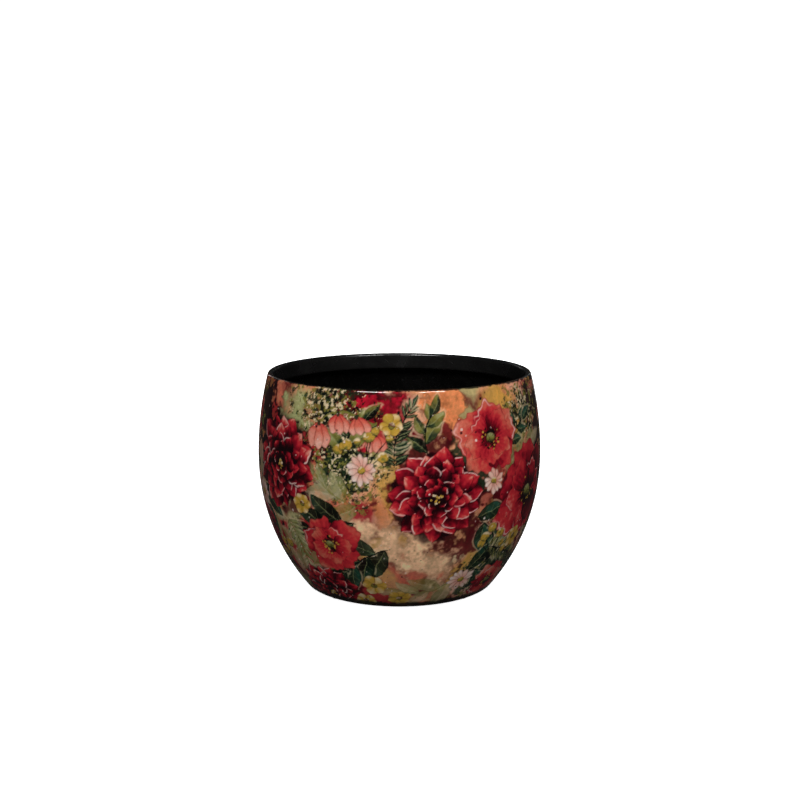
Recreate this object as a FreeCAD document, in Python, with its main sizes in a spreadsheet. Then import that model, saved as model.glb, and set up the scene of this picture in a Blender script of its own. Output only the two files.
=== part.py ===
# Round sheet-steel cachepot: a wall with a wired, turned-in rim, a seamed base pan, a printed
# and lacquered coat on the outside, and felt pads underneath.
# Units are millimetres. +Z is up, and the origin is on the ground, on the pot's axis.
# Every round piece is one section in the XZ plane, drawn from the same two side curves and turned.
import FreeCAD, Part
import math
import os
from collections import namedtuple

import Sketcher

# Driving dimensions
SIZES = {
    "belly_diameter": 180.0,       # widest diameter, over the printed coat
    "overall_height": 137.5,       # ground to the top of the lip
    "belly_height": 84.0,          # ground to the widest level
    "lower_flank_radius": 130.0,   # side curve below the belly, over the coat
    "upper_flank_radius": 210.0,   # side curve above the belly, over the coat
    "base_bend_radius": 2.0,       # outside of the bend at the foot of the wall, in the bare sheet
    "base_flange_width": 12.0,     # turned-in flange that carries the pan and the pads
    "sheet_thickness": 0.8,
    "coat_thickness": 0.15,        # print and clear lacquer together
    "coat_gap": 0.02,              # between the coat or the sealant and the metal beside it
    "wire_diameter": 1.4,
    "wire_clearance": 0.2,         # between the wire and the roll around it
    "collar_depth": 10.5,          # top of the lip to the free edge of the turned-in collar
    "collar_lean": 0.6,            # how far the free edge stands in from the collar's start
    "pan_thickness": 0.8,
    "pan_bend_radius": 3.0,        # outside of the bend between the pan's floor and its skirt
    "pan_clearance": 0.15,         # between the skirt and the wall
    "pan_skirt_height": 6.0,       # underside of the pan to the outer corner of the skirt's edge
    "panel_rise": 1.5,             # of the pan's raised middle over the floor round it
    "panel_step_width": 2.0,       # how wide the sloping step round the panel is
    "pan_gutter_width": 15.25,     # flat floor between that step and the bend to the skirt
    "panel_step_fillet": 0.6,
    "seal_height": 1.6,            # sealant up the wall, above the skirt's edge
    "seal_hollow_radius": 6.0,     # of the sealant's hollow face
    "pad_diameter": 9.0,
    "pad_thickness": 1.5,
    "pad_edge_fillet": 0.3,
}
CORNERS = ("back_right", "back_left", "front_left", "front_right")
FULL_TURN = 360.0
QUARTER = math.pi / 2
SAME_PLACE = 1e-4                  # two places closer than this are one, when an edge is looked up

# The numbers by which a sketch knows its axes and the points of a line or an arc
ORIGIN = (-1, 1)
Y_AXIS, X_AXIS = range(-2, 0)
START, END, CENTRE = range(1, 4)

# Lengths that more than one sketch follows, as formulas on the sheet's cells
SKIN = "(Sizes.coat_thickness + Sizes.coat_gap)"
LIP_RADIUS = "(Sizes.wire_diameter / 2 + Sizes.wire_clearance + Sizes.sheet_thickness)"
LIP_LEVEL = f"Sizes.overall_height - {SKIN} - {LIP_RADIUS}"
BEND_LEVEL = "(Sizes.pad_thickness + Sizes.base_bend_radius)"
PAN_LEVEL = "Sizes.pad_thickness + Sizes.sheet_thickness"
SKIRT_LEVEL = f"{PAN_LEVEL} + Sizes.pan_skirt_height"
SKIRT_INSET = f" - {SKIN} - Sizes.sheet_thickness - Sizes.pan_clearance"
WALL_FACE_INSET = f" - {SKIN} - Sizes.sheet_thickness - Sizes.coat_gap"
BEND_REACH = f"(Sizes.lower_flank_radius - {SKIN} - Sizes.base_bend_radius)"
PAD_RING = ("Sizes.belly_diameter / 2 - Sizes.lower_flank_radius - Sizes.base_flange_width / 2"
            f" + sqrt(pow({BEND_REACH}; 2) - pow(Sizes.belly_height - {BEND_LEVEL}; 2))")

# How far a side curve lies inside the printed surface: its value, and its formula
Inset = namedtuple("Inset", "value formula")


def make_sheet(doc):
    """The spreadsheet that holds every driving dimension under its alias."""
    sheet = doc.addObject("Spreadsheet::Sheet", "Sizes")
    for row, (alias, value) in enumerate(SIZES.items(), start=1):
        sheet.set(f"A{row}", alias)
        sheet.set(f"B{row}", str(value))
        sheet.setAlias(f"B{row}", alias)
    doc.recompute()
    return sheet


def on_circle(centre, radius, angle):
    """The point of a circle at an angle, from the outward direction towards +Z."""
    return (centre[0] + radius * math.cos(angle), centre[1] + radius * math.sin(angle))


class Section:
    """Centres, radii and angles of the pot's section, worked out from the sheet's values."""

    def __init__(self, sheet):
        self.size = size = {alias: float(sheet.get(alias)) for alias in SIZES}
        belly, level = size["belly_diameter"] / 2, size["belly_height"]
        skin = size["coat_thickness"] + size["coat_gap"]
        self.belly, self.level = belly, level
        self.print_face = Inset(0, "")
        self.metal_face = Inset(skin, f" - {SKIN}")
        self.lower = (belly - size["lower_flank_radius"], level)
        self.upper = (belly - size["upper_flank_radius"], level)
        self.lower_metal = size["lower_flank_radius"] - skin
        self.upper_metal = size["upper_flank_radius"] - skin
        self.wall_inside = self.lower_metal - size["sheet_thickness"]
        self.skirt_outside = self.wall_inside - size["pan_clearance"]
        self.underside = size["pad_thickness"]
        self.pan_underside = self.underside + size["sheet_thickness"]
        self.lip_radius = size["wire_diameter"] / 2 + size["wire_clearance"] + size["sheet_thickness"]
        self.lip, self.lip_angle = self.nest(
            self.upper, self.upper_metal, self.lip_radius,
            size["overall_height"] - skin - self.lip_radius)
        self.bend, self.bend_angle = self.nest(
            self.lower, self.lower_metal, size["base_bend_radius"],
            self.underside + size["base_bend_radius"])
        self.pan_bend, self.pan_angle = self.nest(
            self.lower, self.skirt_outside, size["pan_bend_radius"],
            self.pan_underside + size["pan_bend_radius"])
        self.skirt_level = self.pan_underside + size["pan_skirt_height"]
        self.skirt_angle = self.angle_at(self.skirt_outside, self.skirt_level)

    @staticmethod
    def nest(centre, radius, small, height):
        """Centre of a small circle at a height, touching the big one from inside, and its angle there."""
        reach = radius - small
        angle = math.asin((height - centre[1]) / reach)
        return on_circle(centre, reach, angle), angle

    def angle_at(self, radius, height):
        """The angle at which a circle round the lower side curve's centre passes a height."""
        return math.asin((height - self.level) / radius)


class Drawing:
    """One sketch in a body's own plane, with short names for the geometry and constraints used here."""

    def __init__(self, body, name, plane="XZ_Plane"):
        self.sketch = body.newObject("Sketcher::SketchObject", name)
        support = next(f for f in body.Origin.OriginFeatures if f.Role == plane)
        self.sketch.AttachmentSupport = [(support, "")]
        self.sketch.MapMode = "FlatFace"

    def add(self, geometry, construction=False):
        """Adds a piece of geometry, which bounds nothing if it is construction; returns its number."""
        return self.sketch.addGeometry(geometry, construction)

    def arc(self, centre, radius, start, end, construction=False):
        """An arc from one angle up to another."""
        return self.add(Part.ArcOfCircle(self.round(centre, radius), start, end), construction)

    def circle(self, centre, radius):
        """A full circle."""
        return self.add(self.round(centre, radius))

    def line(self, start, end):
        """A straight line."""
        return self.add(Part.LineSegment(FreeCAD.Vector(*start, 0), FreeCAD.Vector(*end, 0)))

    @staticmethod
    def round(centre, radius):
        """A circle in the sketch's plane."""
        return Part.Circle(FreeCAD.Vector(*centre, 0), FreeCAD.Vector(0, 0, 1), radius)

    def rule(self, kind, *where):
        """A constraint with no size of its own."""
        self.sketch.addConstraint(Sketcher.Constraint(kind, *where))

    def driven(self, kind, name, formula, value, *where):
        """A constraint whose size follows a formula on the sheet's cells."""
        number = self.sketch.addConstraint(Sketcher.Constraint(kind, *where, value))
        self.sketch.renameConstraint(number, name)
        self.sketch.setExpression(f"Constraints.{name}", formula)

    def joined(self, *pairs):
        """Makes each pair of points one point."""
        for one, other in pairs:
            self.rule("Coincident", *one, *other)

    def smooth(self, *pairs):
        """Makes each pair of end points one point with one tangent."""
        for one, other in pairs:
            self.rule("Tangent", *one, *other)

    def flanks(self, section, inset, start, end, construction=False):
        """The two side arcs, from their lower to their upper end, tangent to each other at the belly."""
        lower_radius = section.size["lower_flank_radius"] - inset.value
        upper_radius = section.size["upper_flank_radius"] - inset.value
        lower = self.arc(section.lower, lower_radius, start, 0, construction)
        upper = self.arc(section.upper, upper_radius, 0, end, construction)
        self.smooth(((lower, END), (upper, START)))
        self.driven("Radius", "lower_flank", f"Sizes.lower_flank_radius{inset.formula}",
                    lower_radius, lower)
        self.driven("Radius", "upper_flank", f"Sizes.upper_flank_radius{inset.formula}",
                    upper_radius, upper)
        self.driven("DistanceX", "belly_radius", f"Sizes.belly_diameter / 2{inset.formula}",
                    section.belly - inset.value, *ORIGIN, lower, END)
        self.driven("DistanceY", "belly_level", "Sizes.belly_height",
                    section.level, *ORIGIN, lower, END)
        self.driven("DistanceY", "flank_level", "Sizes.belly_height",
                    section.level, *ORIGIN, lower, CENTRE)
        return lower, upper

    def inner_flanks(self, section, outer, inset, start, end):
        """Side arcs further in, round the outer pair's centres."""
        lower_radius = section.size["lower_flank_radius"] - inset.value
        lower = self.arc(section.lower, lower_radius, start, 0)
        upper = self.arc(section.upper, section.size["upper_flank_radius"] - inset.value, 0, end)
        self.joined(((lower, CENTRE), (outer[0], CENTRE)), ((upper, CENTRE), (outer[1], CENTRE)))
        self.smooth(((lower, END), (upper, START)))
        self.driven("Radius", "inner_lower_flank", f"Sizes.lower_flank_radius{inset.formula}",
                    lower_radius, lower)
        return lower, upper

    def lower_centre(self, section, arc):
        """Puts an arc's centre where the lower side curve has its own."""
        self.driven("DistanceX", "flank_centre", "Sizes.lower_flank_radius - Sizes.belly_diameter / 2",
                    -section.lower[0], arc, CENTRE, *ORIGIN)
        self.driven("DistanceY", "flank_level", "Sizes.belly_height", section.level,
                    *ORIGIN, arc, CENTRE)

    def lip_circle(self, section, skin, formula, arc):
        """Sizes and places an arc round the lip's centre, over the metal by a skin."""
        self.driven("Radius", "lip_radius", f"{LIP_RADIUS}{formula}", section.lip_radius + skin, arc)
        self.driven("DistanceY", "lip_level", LIP_LEVEL, section.lip[1], *ORIGIN, arc, CENTRE)

    def base_circle(self, section, skin, formula, arc):
        """Sizes and places an arc round the centre of the bend at the wall's foot, over the metal."""
        self.driven("Radius", "base_bend", f"Sizes.base_bend_radius{formula}",
                    section.size["base_bend_radius"] + skin, arc)
        self.driven("DistanceY", "base_bend_level", BEND_LEVEL, section.bend[1],
                    *ORIGIN, arc, CENTRE)


def new_body(doc, label):
    """An empty body whose label names the piece."""
    body = doc.addObject("PartDesign::Body", label)
    body.Label = label
    return body


def turn(body, drawing):
    """Turns a section once round the pot's axis."""
    feature = body.newObject("PartDesign::Revolution", f"{body.Name}_turn")
    feature.Profile = drawing.sketch
    feature.ReferenceAxis = (drawing.sketch, ["V_Axis"])
    feature.Angle = FULL_TURN
    return feature


def circular_edges(shape, places):
    """Names of the level circular edges of a shape whose radius and height are in a list."""
    names = []
    for number, edge in enumerate(shape.Edges, start=1):
        curve = edge.Curve
        if isinstance(curve, Part.Circle) and any(
                math.hypot(curve.Radius - radius, curve.Center.z - height) < SAME_PLACE
                for radius, height in places):
            names.append(f"Edge{number}")
    return names


def fillet(body, base, places, alias):
    """Rounds circular edges of a feature by a size from the sheet, and makes it the body's last step."""
    rounding = body.newObject("PartDesign::Fillet", f"{body.Name}_fillet")
    rounding.Base = (base, circular_edges(base.Shape, places))
    rounding.Radius = SIZES[alias]
    rounding.setExpression("Radius", f"Sizes.{alias}")
    body.Tip = rounding


def pot_shell(doc, section):
    """The wall: base flange, bend, both side curves, rolled lip and turned-in collar, one sheet thick."""
    size, lip, bend = section.size, section.lip, section.bend
    sheet = size["sheet_thickness"]
    body = new_body(doc, "pot_shell")
    d = Drawing(body, "pot_shell_section")
    ends = (section.bend_angle, section.lip_angle)
    outer = d.flanks(section, section.metal_face, *ends)
    inside = Inset(section.metal_face.value + sheet, f" - {SKIN} - Sizes.sheet_thickness")
    inner = d.inner_flanks(section, outer, inside, *ends)

    bend_out = d.arc(bend, size["base_bend_radius"], -QUARTER, section.bend_angle)
    bend_in = d.arc(bend, size["base_bend_radius"] - sheet, -QUARTER, section.bend_angle)
    flange_end = bend[0] - size["base_flange_width"]
    under = d.line((flange_end, section.underside), (bend[0], section.underside))
    over = d.line((flange_end, section.pan_underside), (bend[0], section.pan_underside))
    flange_edge = d.line((flange_end, section.underside), (flange_end, section.pan_underside))

    collar_end = size["overall_height"] - size["collar_depth"]
    lean = math.atan2(size["collar_lean"], lip[1] - collar_end)
    lip_out = d.arc(lip, section.lip_radius, section.lip_angle, math.pi - lean)
    lip_in = d.arc(lip, section.lip_radius - sheet, section.lip_angle, math.pi - lean)
    front_top = on_circle(lip, section.lip_radius, math.pi - lean)
    back_top = on_circle(lip, section.lip_radius - sheet, math.pi - lean)
    drop = front_top[1] - collar_end
    front_end = (front_top[0] - drop * math.tan(lean), collar_end)
    back_end = (back_top[0] + front_end[0] - front_top[0], back_top[1] - drop)
    front = d.line(front_top, front_end)
    back = d.line(back_top, back_end)
    collar_edge = d.line(front_end, back_end)

    d.smooth(((bend_out, END), (outer[0], START)), ((bend_in, END), (inner[0], START)),
             ((under, END), (bend_out, START)), ((over, END), (bend_in, START)),
             ((outer[1], END), (lip_out, START)), ((inner[1], END), (lip_in, START)),
             ((lip_out, END), (front, START)), ((lip_in, END), (back, START)))
    d.joined(((bend_in, CENTRE), (bend_out, CENTRE)), ((lip_in, CENTRE), (lip_out, CENTRE)),
             ((flange_edge, START), (under, START)), ((flange_edge, END), (over, START)),
             ((collar_edge, START), (front, END)), ((collar_edge, END), (back, END)))
    d.rule("Horizontal", under)
    d.rule("Horizontal", over)
    d.rule("Vertical", flange_edge)
    d.rule("Parallel", front, back)
    d.rule("Perpendicular", front, collar_edge)
    d.base_circle(section, 0, "", bend_out)
    d.lip_circle(section, 0, "", lip_out)
    d.driven("DistanceX", "flange_width", "Sizes.base_flange_width", size["base_flange_width"],
             under, START, under, END)
    d.driven("DistanceY", "collar_end_level", "Sizes.overall_height - Sizes.collar_depth",
             collar_end, *ORIGIN, front, END)
    d.driven("DistanceX", "collar_lean", "Sizes.collar_lean", size["collar_lean"],
             front, END, front, START)
    turn(body, d)
    return body


def print_coat(doc, section):
    """The printed and lacquered coat, from under the foot of the wall to the crest of the lip."""
    size = section.size
    coat, skin = size["coat_thickness"], section.metal_face.value
    body = new_body(doc, "print_coat")
    d = Drawing(body, "print_coat_section")
    ends = (section.bend_angle, section.lip_angle)
    outer = d.flanks(section, section.print_face, *ends)
    inner = d.inner_flanks(section, outer, Inset(coat, " - Sizes.coat_thickness"), *ends)
    foot_radius, crest_radius = size["base_bend_radius"] + skin, section.lip_radius + skin
    foot_out = d.arc(section.bend, foot_radius, -QUARTER, section.bend_angle)
    foot_in = d.arc(section.bend, foot_radius - coat, -QUARTER, section.bend_angle)
    crest_out = d.arc(section.lip, crest_radius, section.lip_angle, QUARTER)
    crest_in = d.arc(section.lip, crest_radius - coat, section.lip_angle, QUARTER)
    foot_edge = d.line(on_circle(section.bend, foot_radius, -QUARTER),
                       on_circle(section.bend, foot_radius - coat, -QUARTER))
    crest_edge = d.line(on_circle(section.lip, crest_radius, QUARTER),
                        on_circle(section.lip, crest_radius - coat, QUARTER))
    d.smooth(((foot_out, END), (outer[0], START)), ((foot_in, END), (inner[0], START)),
             ((outer[1], END), (crest_out, START)), ((inner[1], END), (crest_in, START)))
    d.joined(((foot_in, CENTRE), (foot_out, CENTRE)), ((crest_in, CENTRE), (crest_out, CENTRE)),
             ((foot_edge, START), (foot_out, START)), ((foot_edge, END), (foot_in, START)),
             ((crest_edge, START), (crest_out, END)), ((crest_edge, END), (crest_in, END)))
    for edge, arc in ((foot_edge, foot_out), (crest_edge, crest_out)):
        d.rule("Vertical", edge)
        d.rule("Vertical", edge, START, arc, CENTRE)
    d.base_circle(section, skin, f" + {SKIN}", foot_out)
    d.lip_circle(section, skin, f" + {SKIN}", crest_out)
    turn(body, d)
    return body


def rim_wire(doc, section):
    """The stiffening wire inside the rolled lip, placed by the wall's curve drawn as construction."""
    size = section.size
    body = new_body(doc, "rim_wire")
    d = Drawing(body, "rim_wire_section")
    ground_angle = section.angle_at(section.lower_metal, 0)
    lower, upper = d.flanks(section, section.metal_face, ground_angle, section.lip_angle, True)
    roll = d.arc(section.lip, section.lip_radius, section.lip_angle, QUARTER, True)
    wire = d.circle(section.lip, size["wire_diameter"] / 2)
    d.smooth(((upper, END), (roll, START)))
    d.joined(((roll, CENTRE), (wire, CENTRE)))
    d.rule("PointOnObject", lower, START, X_AXIS)
    d.rule("Vertical", roll, END, roll, CENTRE)
    d.lip_circle(section, 0, "", roll)
    d.driven("Diameter", "wire", "Sizes.wire_diameter", size["wire_diameter"], wire)
    turn(body, d)
    return body


def base_pan(doc, section):
    """The pressed bottom: skirt against the wall, floor on the flange, and a raised panel inside it."""
    size = section.size
    thick, rise, step = size["pan_thickness"], size["panel_rise"], size["panel_step_width"]
    bend, floor, gutter = section.pan_bend, section.pan_underside, size["pan_gutter_width"]
    panel = bend[0] - gutter - step
    body = new_body(doc, "base_pan")
    d = Drawing(body, "base_pan_section")
    ends = (section.pan_angle, section.skirt_angle)
    skirt_out = d.arc(section.lower, section.skirt_outside, *ends)
    skirt_in = d.arc(section.lower, section.skirt_outside - thick, *ends)
    bend_out = d.arc(bend, size["pan_bend_radius"], -QUARTER, section.pan_angle)
    bend_in = d.arc(bend, size["pan_bend_radius"] - thick, -QUARTER, section.pan_angle)
    skirt_edge = d.line(on_circle(section.lower, section.skirt_outside, section.skirt_angle),
                        on_circle(section.lower, section.skirt_outside - thick, section.skirt_angle))
    corners = [(0, floor + rise), (panel, floor + rise), (panel + step, floor), (bend[0], floor)]
    under = [d.line(one, other) for one, other in zip(corners, corners[1:])]
    raised = [(across, up + thick) for across, up in corners]
    over = [d.line(one, other) for one, other in zip(raised, raised[1:])]
    middle = d.line(corners[0], raised[0])

    d.smooth(((bend_out, END), (skirt_out, START)), ((bend_in, END), (skirt_in, START)),
             ((under[2], END), (bend_out, START)), ((over[2], END), (bend_in, START)))
    d.joined(((bend_in, CENTRE), (bend_out, CENTRE)), ((skirt_in, CENTRE), (skirt_out, CENTRE)),
             ((skirt_edge, START), (skirt_out, END)), ((skirt_edge, END), (skirt_in, END)),
             ((middle, START), (under[0], START)), ((middle, END), (over[0], START)))
    for face in (under, over):
        d.joined(((face[0], END), (face[1], START)), ((face[1], END), (face[2], START)))
        d.rule("Horizontal", face[0])
        d.rule("Horizontal", face[2])
    for below, above in zip(under[:2], over[:2]):
        d.rule("Vertical", below, END, above, END)
    d.rule("Vertical", middle)
    d.rule("PointOnObject", middle, START, Y_AXIS)
    d.rule("PointOnObject", skirt_out, CENTRE, skirt_edge)
    d.lower_centre(section, skirt_out)
    d.driven("Radius", "skirt", f"Sizes.lower_flank_radius{SKIRT_INSET}",
             section.skirt_outside, skirt_out)
    d.driven("DistanceY", "skirt_level", SKIRT_LEVEL, section.skirt_level, *ORIGIN, skirt_out, END)
    d.driven("Radius", "pan_bend", "Sizes.pan_bend_radius", size["pan_bend_radius"], bend_out)
    d.driven("DistanceY", "pan_bend_level", f"{PAN_LEVEL} + Sizes.pan_bend_radius", bend[1],
             *ORIGIN, bend_out, CENTRE)
    d.driven("DistanceY", "floor_thickness", "Sizes.pan_thickness", thick,
             under[2], START, over[2], START)
    d.driven("DistanceY", "panel_thickness", "Sizes.pan_thickness", thick,
             middle, START, middle, END)
    d.driven("DistanceX", "gutter", "Sizes.pan_gutter_width", gutter, under[2], START,
             under[2], END)
    d.driven("DistanceX", "panel_step", "Sizes.panel_step_width", step,
             under[1], START, under[1], END)
    d.driven("DistanceY", "panel_rise", "Sizes.panel_rise", rise, under[1], END, under[1], START)
    turned = turn(body, d)
    doc.recompute()
    fillet(body, turned, corners[1:3] + raised[1:3], "panel_step_fillet")
    return body


def seam_seal(doc, section):
    """The bead of sealant that lies on the skirt's edge and runs up the wall, with a hollow face."""
    size = section.size
    wall = section.wall_inside - size["coat_gap"]
    skirt_inside = section.skirt_outside - size["pan_thickness"]
    top_level = section.skirt_level + size["seal_height"]
    inner = on_circle(section.lower, skirt_inside, section.skirt_angle)
    outer = on_circle(section.lower, wall, section.skirt_angle)
    top = on_circle(section.lower, wall, section.angle_at(wall, top_level))
    chord = math.dist(inner, top)
    along = ((top[0] - inner[0]) / chord, (top[1] - inner[1]) / chord)
    away = math.sqrt(size["seal_hollow_radius"] ** 2 - (chord / 2) ** 2)
    centre = ((inner[0] + top[0]) / 2 - along[1] * away, (inner[1] + top[1]) / 2 + along[0] * away)
    angles = [math.atan2(point[1] - centre[1], point[0] - centre[0]) for point in (inner, top)]

    body = new_body(doc, "seam_seal")
    d = Drawing(body, "seam_seal_section")
    back = d.arc(section.lower, wall, section.skirt_angle, section.angle_at(wall, top_level))
    seat = d.line(inner, outer)
    hollow = d.arc(centre, size["seal_hollow_radius"], *angles)
    d.joined(((seat, END), (back, START)), ((seat, START), (hollow, START)),
             ((back, END), (hollow, END)))
    d.rule("PointOnObject", back, CENTRE, seat)
    d.lower_centre(section, back)
    d.driven("Radius", "wall_face", f"Sizes.lower_flank_radius{WALL_FACE_INSET}", wall, back)
    d.driven("Distance", "seat_width", "Sizes.pan_thickness + Sizes.pan_clearance - Sizes.coat_gap",
             math.dist(inner, outer), seat)
    skirt_radius = f"(Sizes.lower_flank_radius{SKIRT_INSET})"
    d.driven("DistanceY", "seat_level",
             f"Sizes.belly_height - (Sizes.belly_height - ({SKIRT_LEVEL}))"
             f" * (Sizes.lower_flank_radius{WALL_FACE_INSET}) / {skirt_radius}",
             outer[1], *ORIGIN, back, START)
    d.driven("DistanceY", "seal_top", f"{SKIRT_LEVEL} + Sizes.seal_height", top_level,
             *ORIGIN, back, END)
    d.driven("Radius", "hollow", "Sizes.seal_hollow_radius", size["seal_hollow_radius"], hollow)
    turn(body, d)
    return body


def foot_pad(doc, section, corner, angle):
    """A felt disc under the flange, drawn on the X axis and set round the pot by its placement."""
    size = section.size
    ring = section.bend[0] - size["base_flange_width"] / 2
    body = new_body(doc, f"foot_pad_{corner}")
    d = Drawing(body, f"foot_pad_{corner}_outline", "XY_Plane")
    outline = d.circle((ring, 0), size["pad_diameter"] / 2)
    d.rule("PointOnObject", outline, CENTRE, X_AXIS)
    d.driven("Diameter", "pad", "Sizes.pad_diameter", size["pad_diameter"], outline)
    d.driven("DistanceX", "pad_ring", PAD_RING, ring, *ORIGIN, outline, CENTRE)
    disc = body.newObject("PartDesign::Pad", f"{body.Name}_disc")
    disc.Profile = d.sketch
    disc.Length = size["pad_thickness"]
    disc.setExpression("Length", "Sizes.pad_thickness")
    doc.recompute()
    fillet(body, disc, [(size["pad_diameter"] / 2, 0)], "pad_edge_fillet")
    body.Placement = FreeCAD.Placement(
        FreeCAD.Vector(), FreeCAD.Rotation(FreeCAD.Vector(0, 0, 1), angle))
    return body


def check(doc, bodies):
    """Stops the build if an object failed, a sketch is loose or a solid isn't whole."""
    for item in doc.Objects:
        if {"Invalid", "Error"} & set(item.State):
            raise RuntimeError(f"{item.Name} failed: {item.State}")
        if item.TypeId == "Sketcher::SketchObject" and (item.solve() or not item.FullyConstrained):
            raise RuntimeError(f"{item.Name} isn't solved and fully constrained")
    for body in bodies:
        shape = body.Shape
        if shape.isNull() or not shape.isValid() or len(shape.Solids) != 1:
            raise RuntimeError(f"{body.Label} isn't one valid solid")


def main():
    """Builds the document, checks every object and writes one STEP file for each piece."""
    doc = FreeCAD.newDocument("cachepot")
    section = Section(make_sheet(doc))
    bodies = [make(doc, section) for make in (pot_shell, print_coat, rim_wire, base_pan, seam_seal)]
    spacing = FULL_TURN / len(CORNERS)
    for number, corner in enumerate(CORNERS):
        bodies.append(foot_pad(doc, section, corner, (number + 0.5) * spacing))
    doc.recompute()
    check(doc, bodies)
    os.makedirs("parts", exist_ok=True)
    for body in bodies:
        body.Shape.exportStep(f"parts/{body.Label}.step")
        print(f"{body.Label}: {body.Shape.Volume:.1f} mm3")


main()
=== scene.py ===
"""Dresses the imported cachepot: a painted, lacquered wall over black sheet steel, in a plain studio.

Everything is in metres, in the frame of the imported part: +Z up, the origin on the ground on the
pot's axis, and -Y towards the camera.
"""
from __future__ import annotations

import logging
import math
from dataclasses import dataclass, field
from enum import Enum, IntEnum
from typing import Iterable, Sequence

import bpy
import numpy as np
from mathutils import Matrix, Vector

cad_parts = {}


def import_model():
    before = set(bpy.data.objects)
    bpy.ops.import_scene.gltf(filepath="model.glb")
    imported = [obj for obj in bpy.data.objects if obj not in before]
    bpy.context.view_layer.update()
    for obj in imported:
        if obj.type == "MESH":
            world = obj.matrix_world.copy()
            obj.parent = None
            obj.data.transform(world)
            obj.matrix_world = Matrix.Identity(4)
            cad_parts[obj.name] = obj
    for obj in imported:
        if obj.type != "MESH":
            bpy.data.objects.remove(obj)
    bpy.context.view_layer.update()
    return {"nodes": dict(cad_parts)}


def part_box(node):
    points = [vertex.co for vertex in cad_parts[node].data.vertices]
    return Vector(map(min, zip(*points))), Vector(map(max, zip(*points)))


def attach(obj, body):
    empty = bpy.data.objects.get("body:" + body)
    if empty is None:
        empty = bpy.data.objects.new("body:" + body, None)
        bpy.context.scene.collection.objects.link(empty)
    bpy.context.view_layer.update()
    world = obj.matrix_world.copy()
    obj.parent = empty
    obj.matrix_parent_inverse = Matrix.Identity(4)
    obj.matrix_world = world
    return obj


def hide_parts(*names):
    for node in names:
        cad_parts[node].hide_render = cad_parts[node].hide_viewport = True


LOG = logging.getLogger("cachepot")
MM = 0.001
FULL_TURN = 2 * math.pi
QUARTER = math.pi / 2
Array = np.ndarray


def smooth(value: Array, low: float, high: float) -> Array:
    """Eases from 0 at low to 1 at high: t * t * (3 - 2 t)."""
    share = np.clip((value - low) / (high - low), 0.0, 1.0)
    return share * share * (3.0 - 2.0 * share)


def near(distance: Array, width: float) -> Array:
    """A bell curve: exp(-(distance / width) ** 2)."""
    return np.exp(-(distance / width) ** 2)


def covering(inside: Array, soft: float) -> Array:
    """How much a shape covers, from the distance inside its edge: 0 to 1 over the width soft."""
    return np.clip(inside / soft + 0.5, 0.0, 1.0)


def polar(length: float, angle: float) -> tuple[float, float]:
    """The point at a distance and an angle from the origin."""
    return length * math.cos(angle), length * math.sin(angle)


def lattice(x: Array, y: Array, z: Array, seed: int) -> Array:
    """A fixed pseudo-random number from 0 to 1 for each whole-numbered point.

    The three numbers and the seed are multiplied by large odd numbers, joined by exclusive or,
    and stirred twice; the low bits are the answer.

    Args:
        x, y, z: Whole numbers.
        seed: Which set of numbers.

    Returns:
        One number for each point.
    """
    mixed = x * 73856093 ^ y * 19349663 ^ z * 83492791 ^ (seed * 2654435 + 97)
    mixed = (mixed ^ (mixed >> 13)) * 1274126177 & 0x7FFFFFFF
    mixed = (mixed ^ (mixed >> 15)) * 668265263 & 0x7FFFFFFF
    return (mixed >> 7 & 0xFFFFF) / float(0xFFFFF)


def noise(points: Array, scale: float, seed: int, octaves: int = 3) -> Array:
    """Layered value noise from 0 to 1 with a standard deviation of about a sixth.

    Each layer eases between random numbers at the corners of a cubic grid; the next layer has a
    grid half as wide and about half the weight.

    Args:
        points: Places, with the three coordinates in the last axis.
        scale: Width of the widest grid's cubes.
        seed: Which noise.
        octaves: How many layers.

    Returns:
        One number for each place.
    """
    total = np.zeros(points.shape[:-1])
    weight, weights, width = 1.0, 0.0, scale
    for layer in range(octaves):
        # The shift keeps the grid's own planes off the pot's axis.
        place = points / width + 31.7
        cell = np.floor(place).astype(np.int64)
        part = place - cell
        part = part * part * (3.0 - 2.0 * part)
        value = np.zeros_like(total)
        for corner in range(8):
            steps = [corner >> axis & 1 for axis in range(3)]
            share = np.ones_like(total)
            for axis, step in enumerate(steps):
                share = share * (part[..., axis] if step else 1.0 - part[..., axis])
            value += share * lattice(*(cell[..., axis] + steps[axis] for axis in range(3)),
                                     seed * 17 + layer)
        total += weight * value
        weights += weight
        weight *= 0.55
        width *= 0.5
    return total / weights


def ramp(share: Array, *paints: Sequence[float]) -> Array:
    """Colours at a share from 0 to 1 along evenly spaced paints, blended straight between them.

    Args:
        share: Where to read, one number for each place.
        paints: The colours, two or more.

    Returns:
        One colour for each place.
    """
    stops = np.linspace(0.0, 1.0, len(paints))
    table = np.asarray(paints, float)
    return np.stack([np.interp(share, stops, table[:, channel]) for channel in range(3)], axis=-1)


class Seed(IntEnum):
    """Which noise is which. One that is drawn several times takes the numbers after it as well."""

    SWELL = 5
    RIPPLE = 6
    DRIFT = 10
    POOL = 11
    GRAIN = 12
    WANDER_ACROSS = 13
    WANDER_UP = 14
    BRUSH = 23
    SWIRL = 30
    WASH = 40
    SPECKLE = 61
    FRAY = 71


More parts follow.
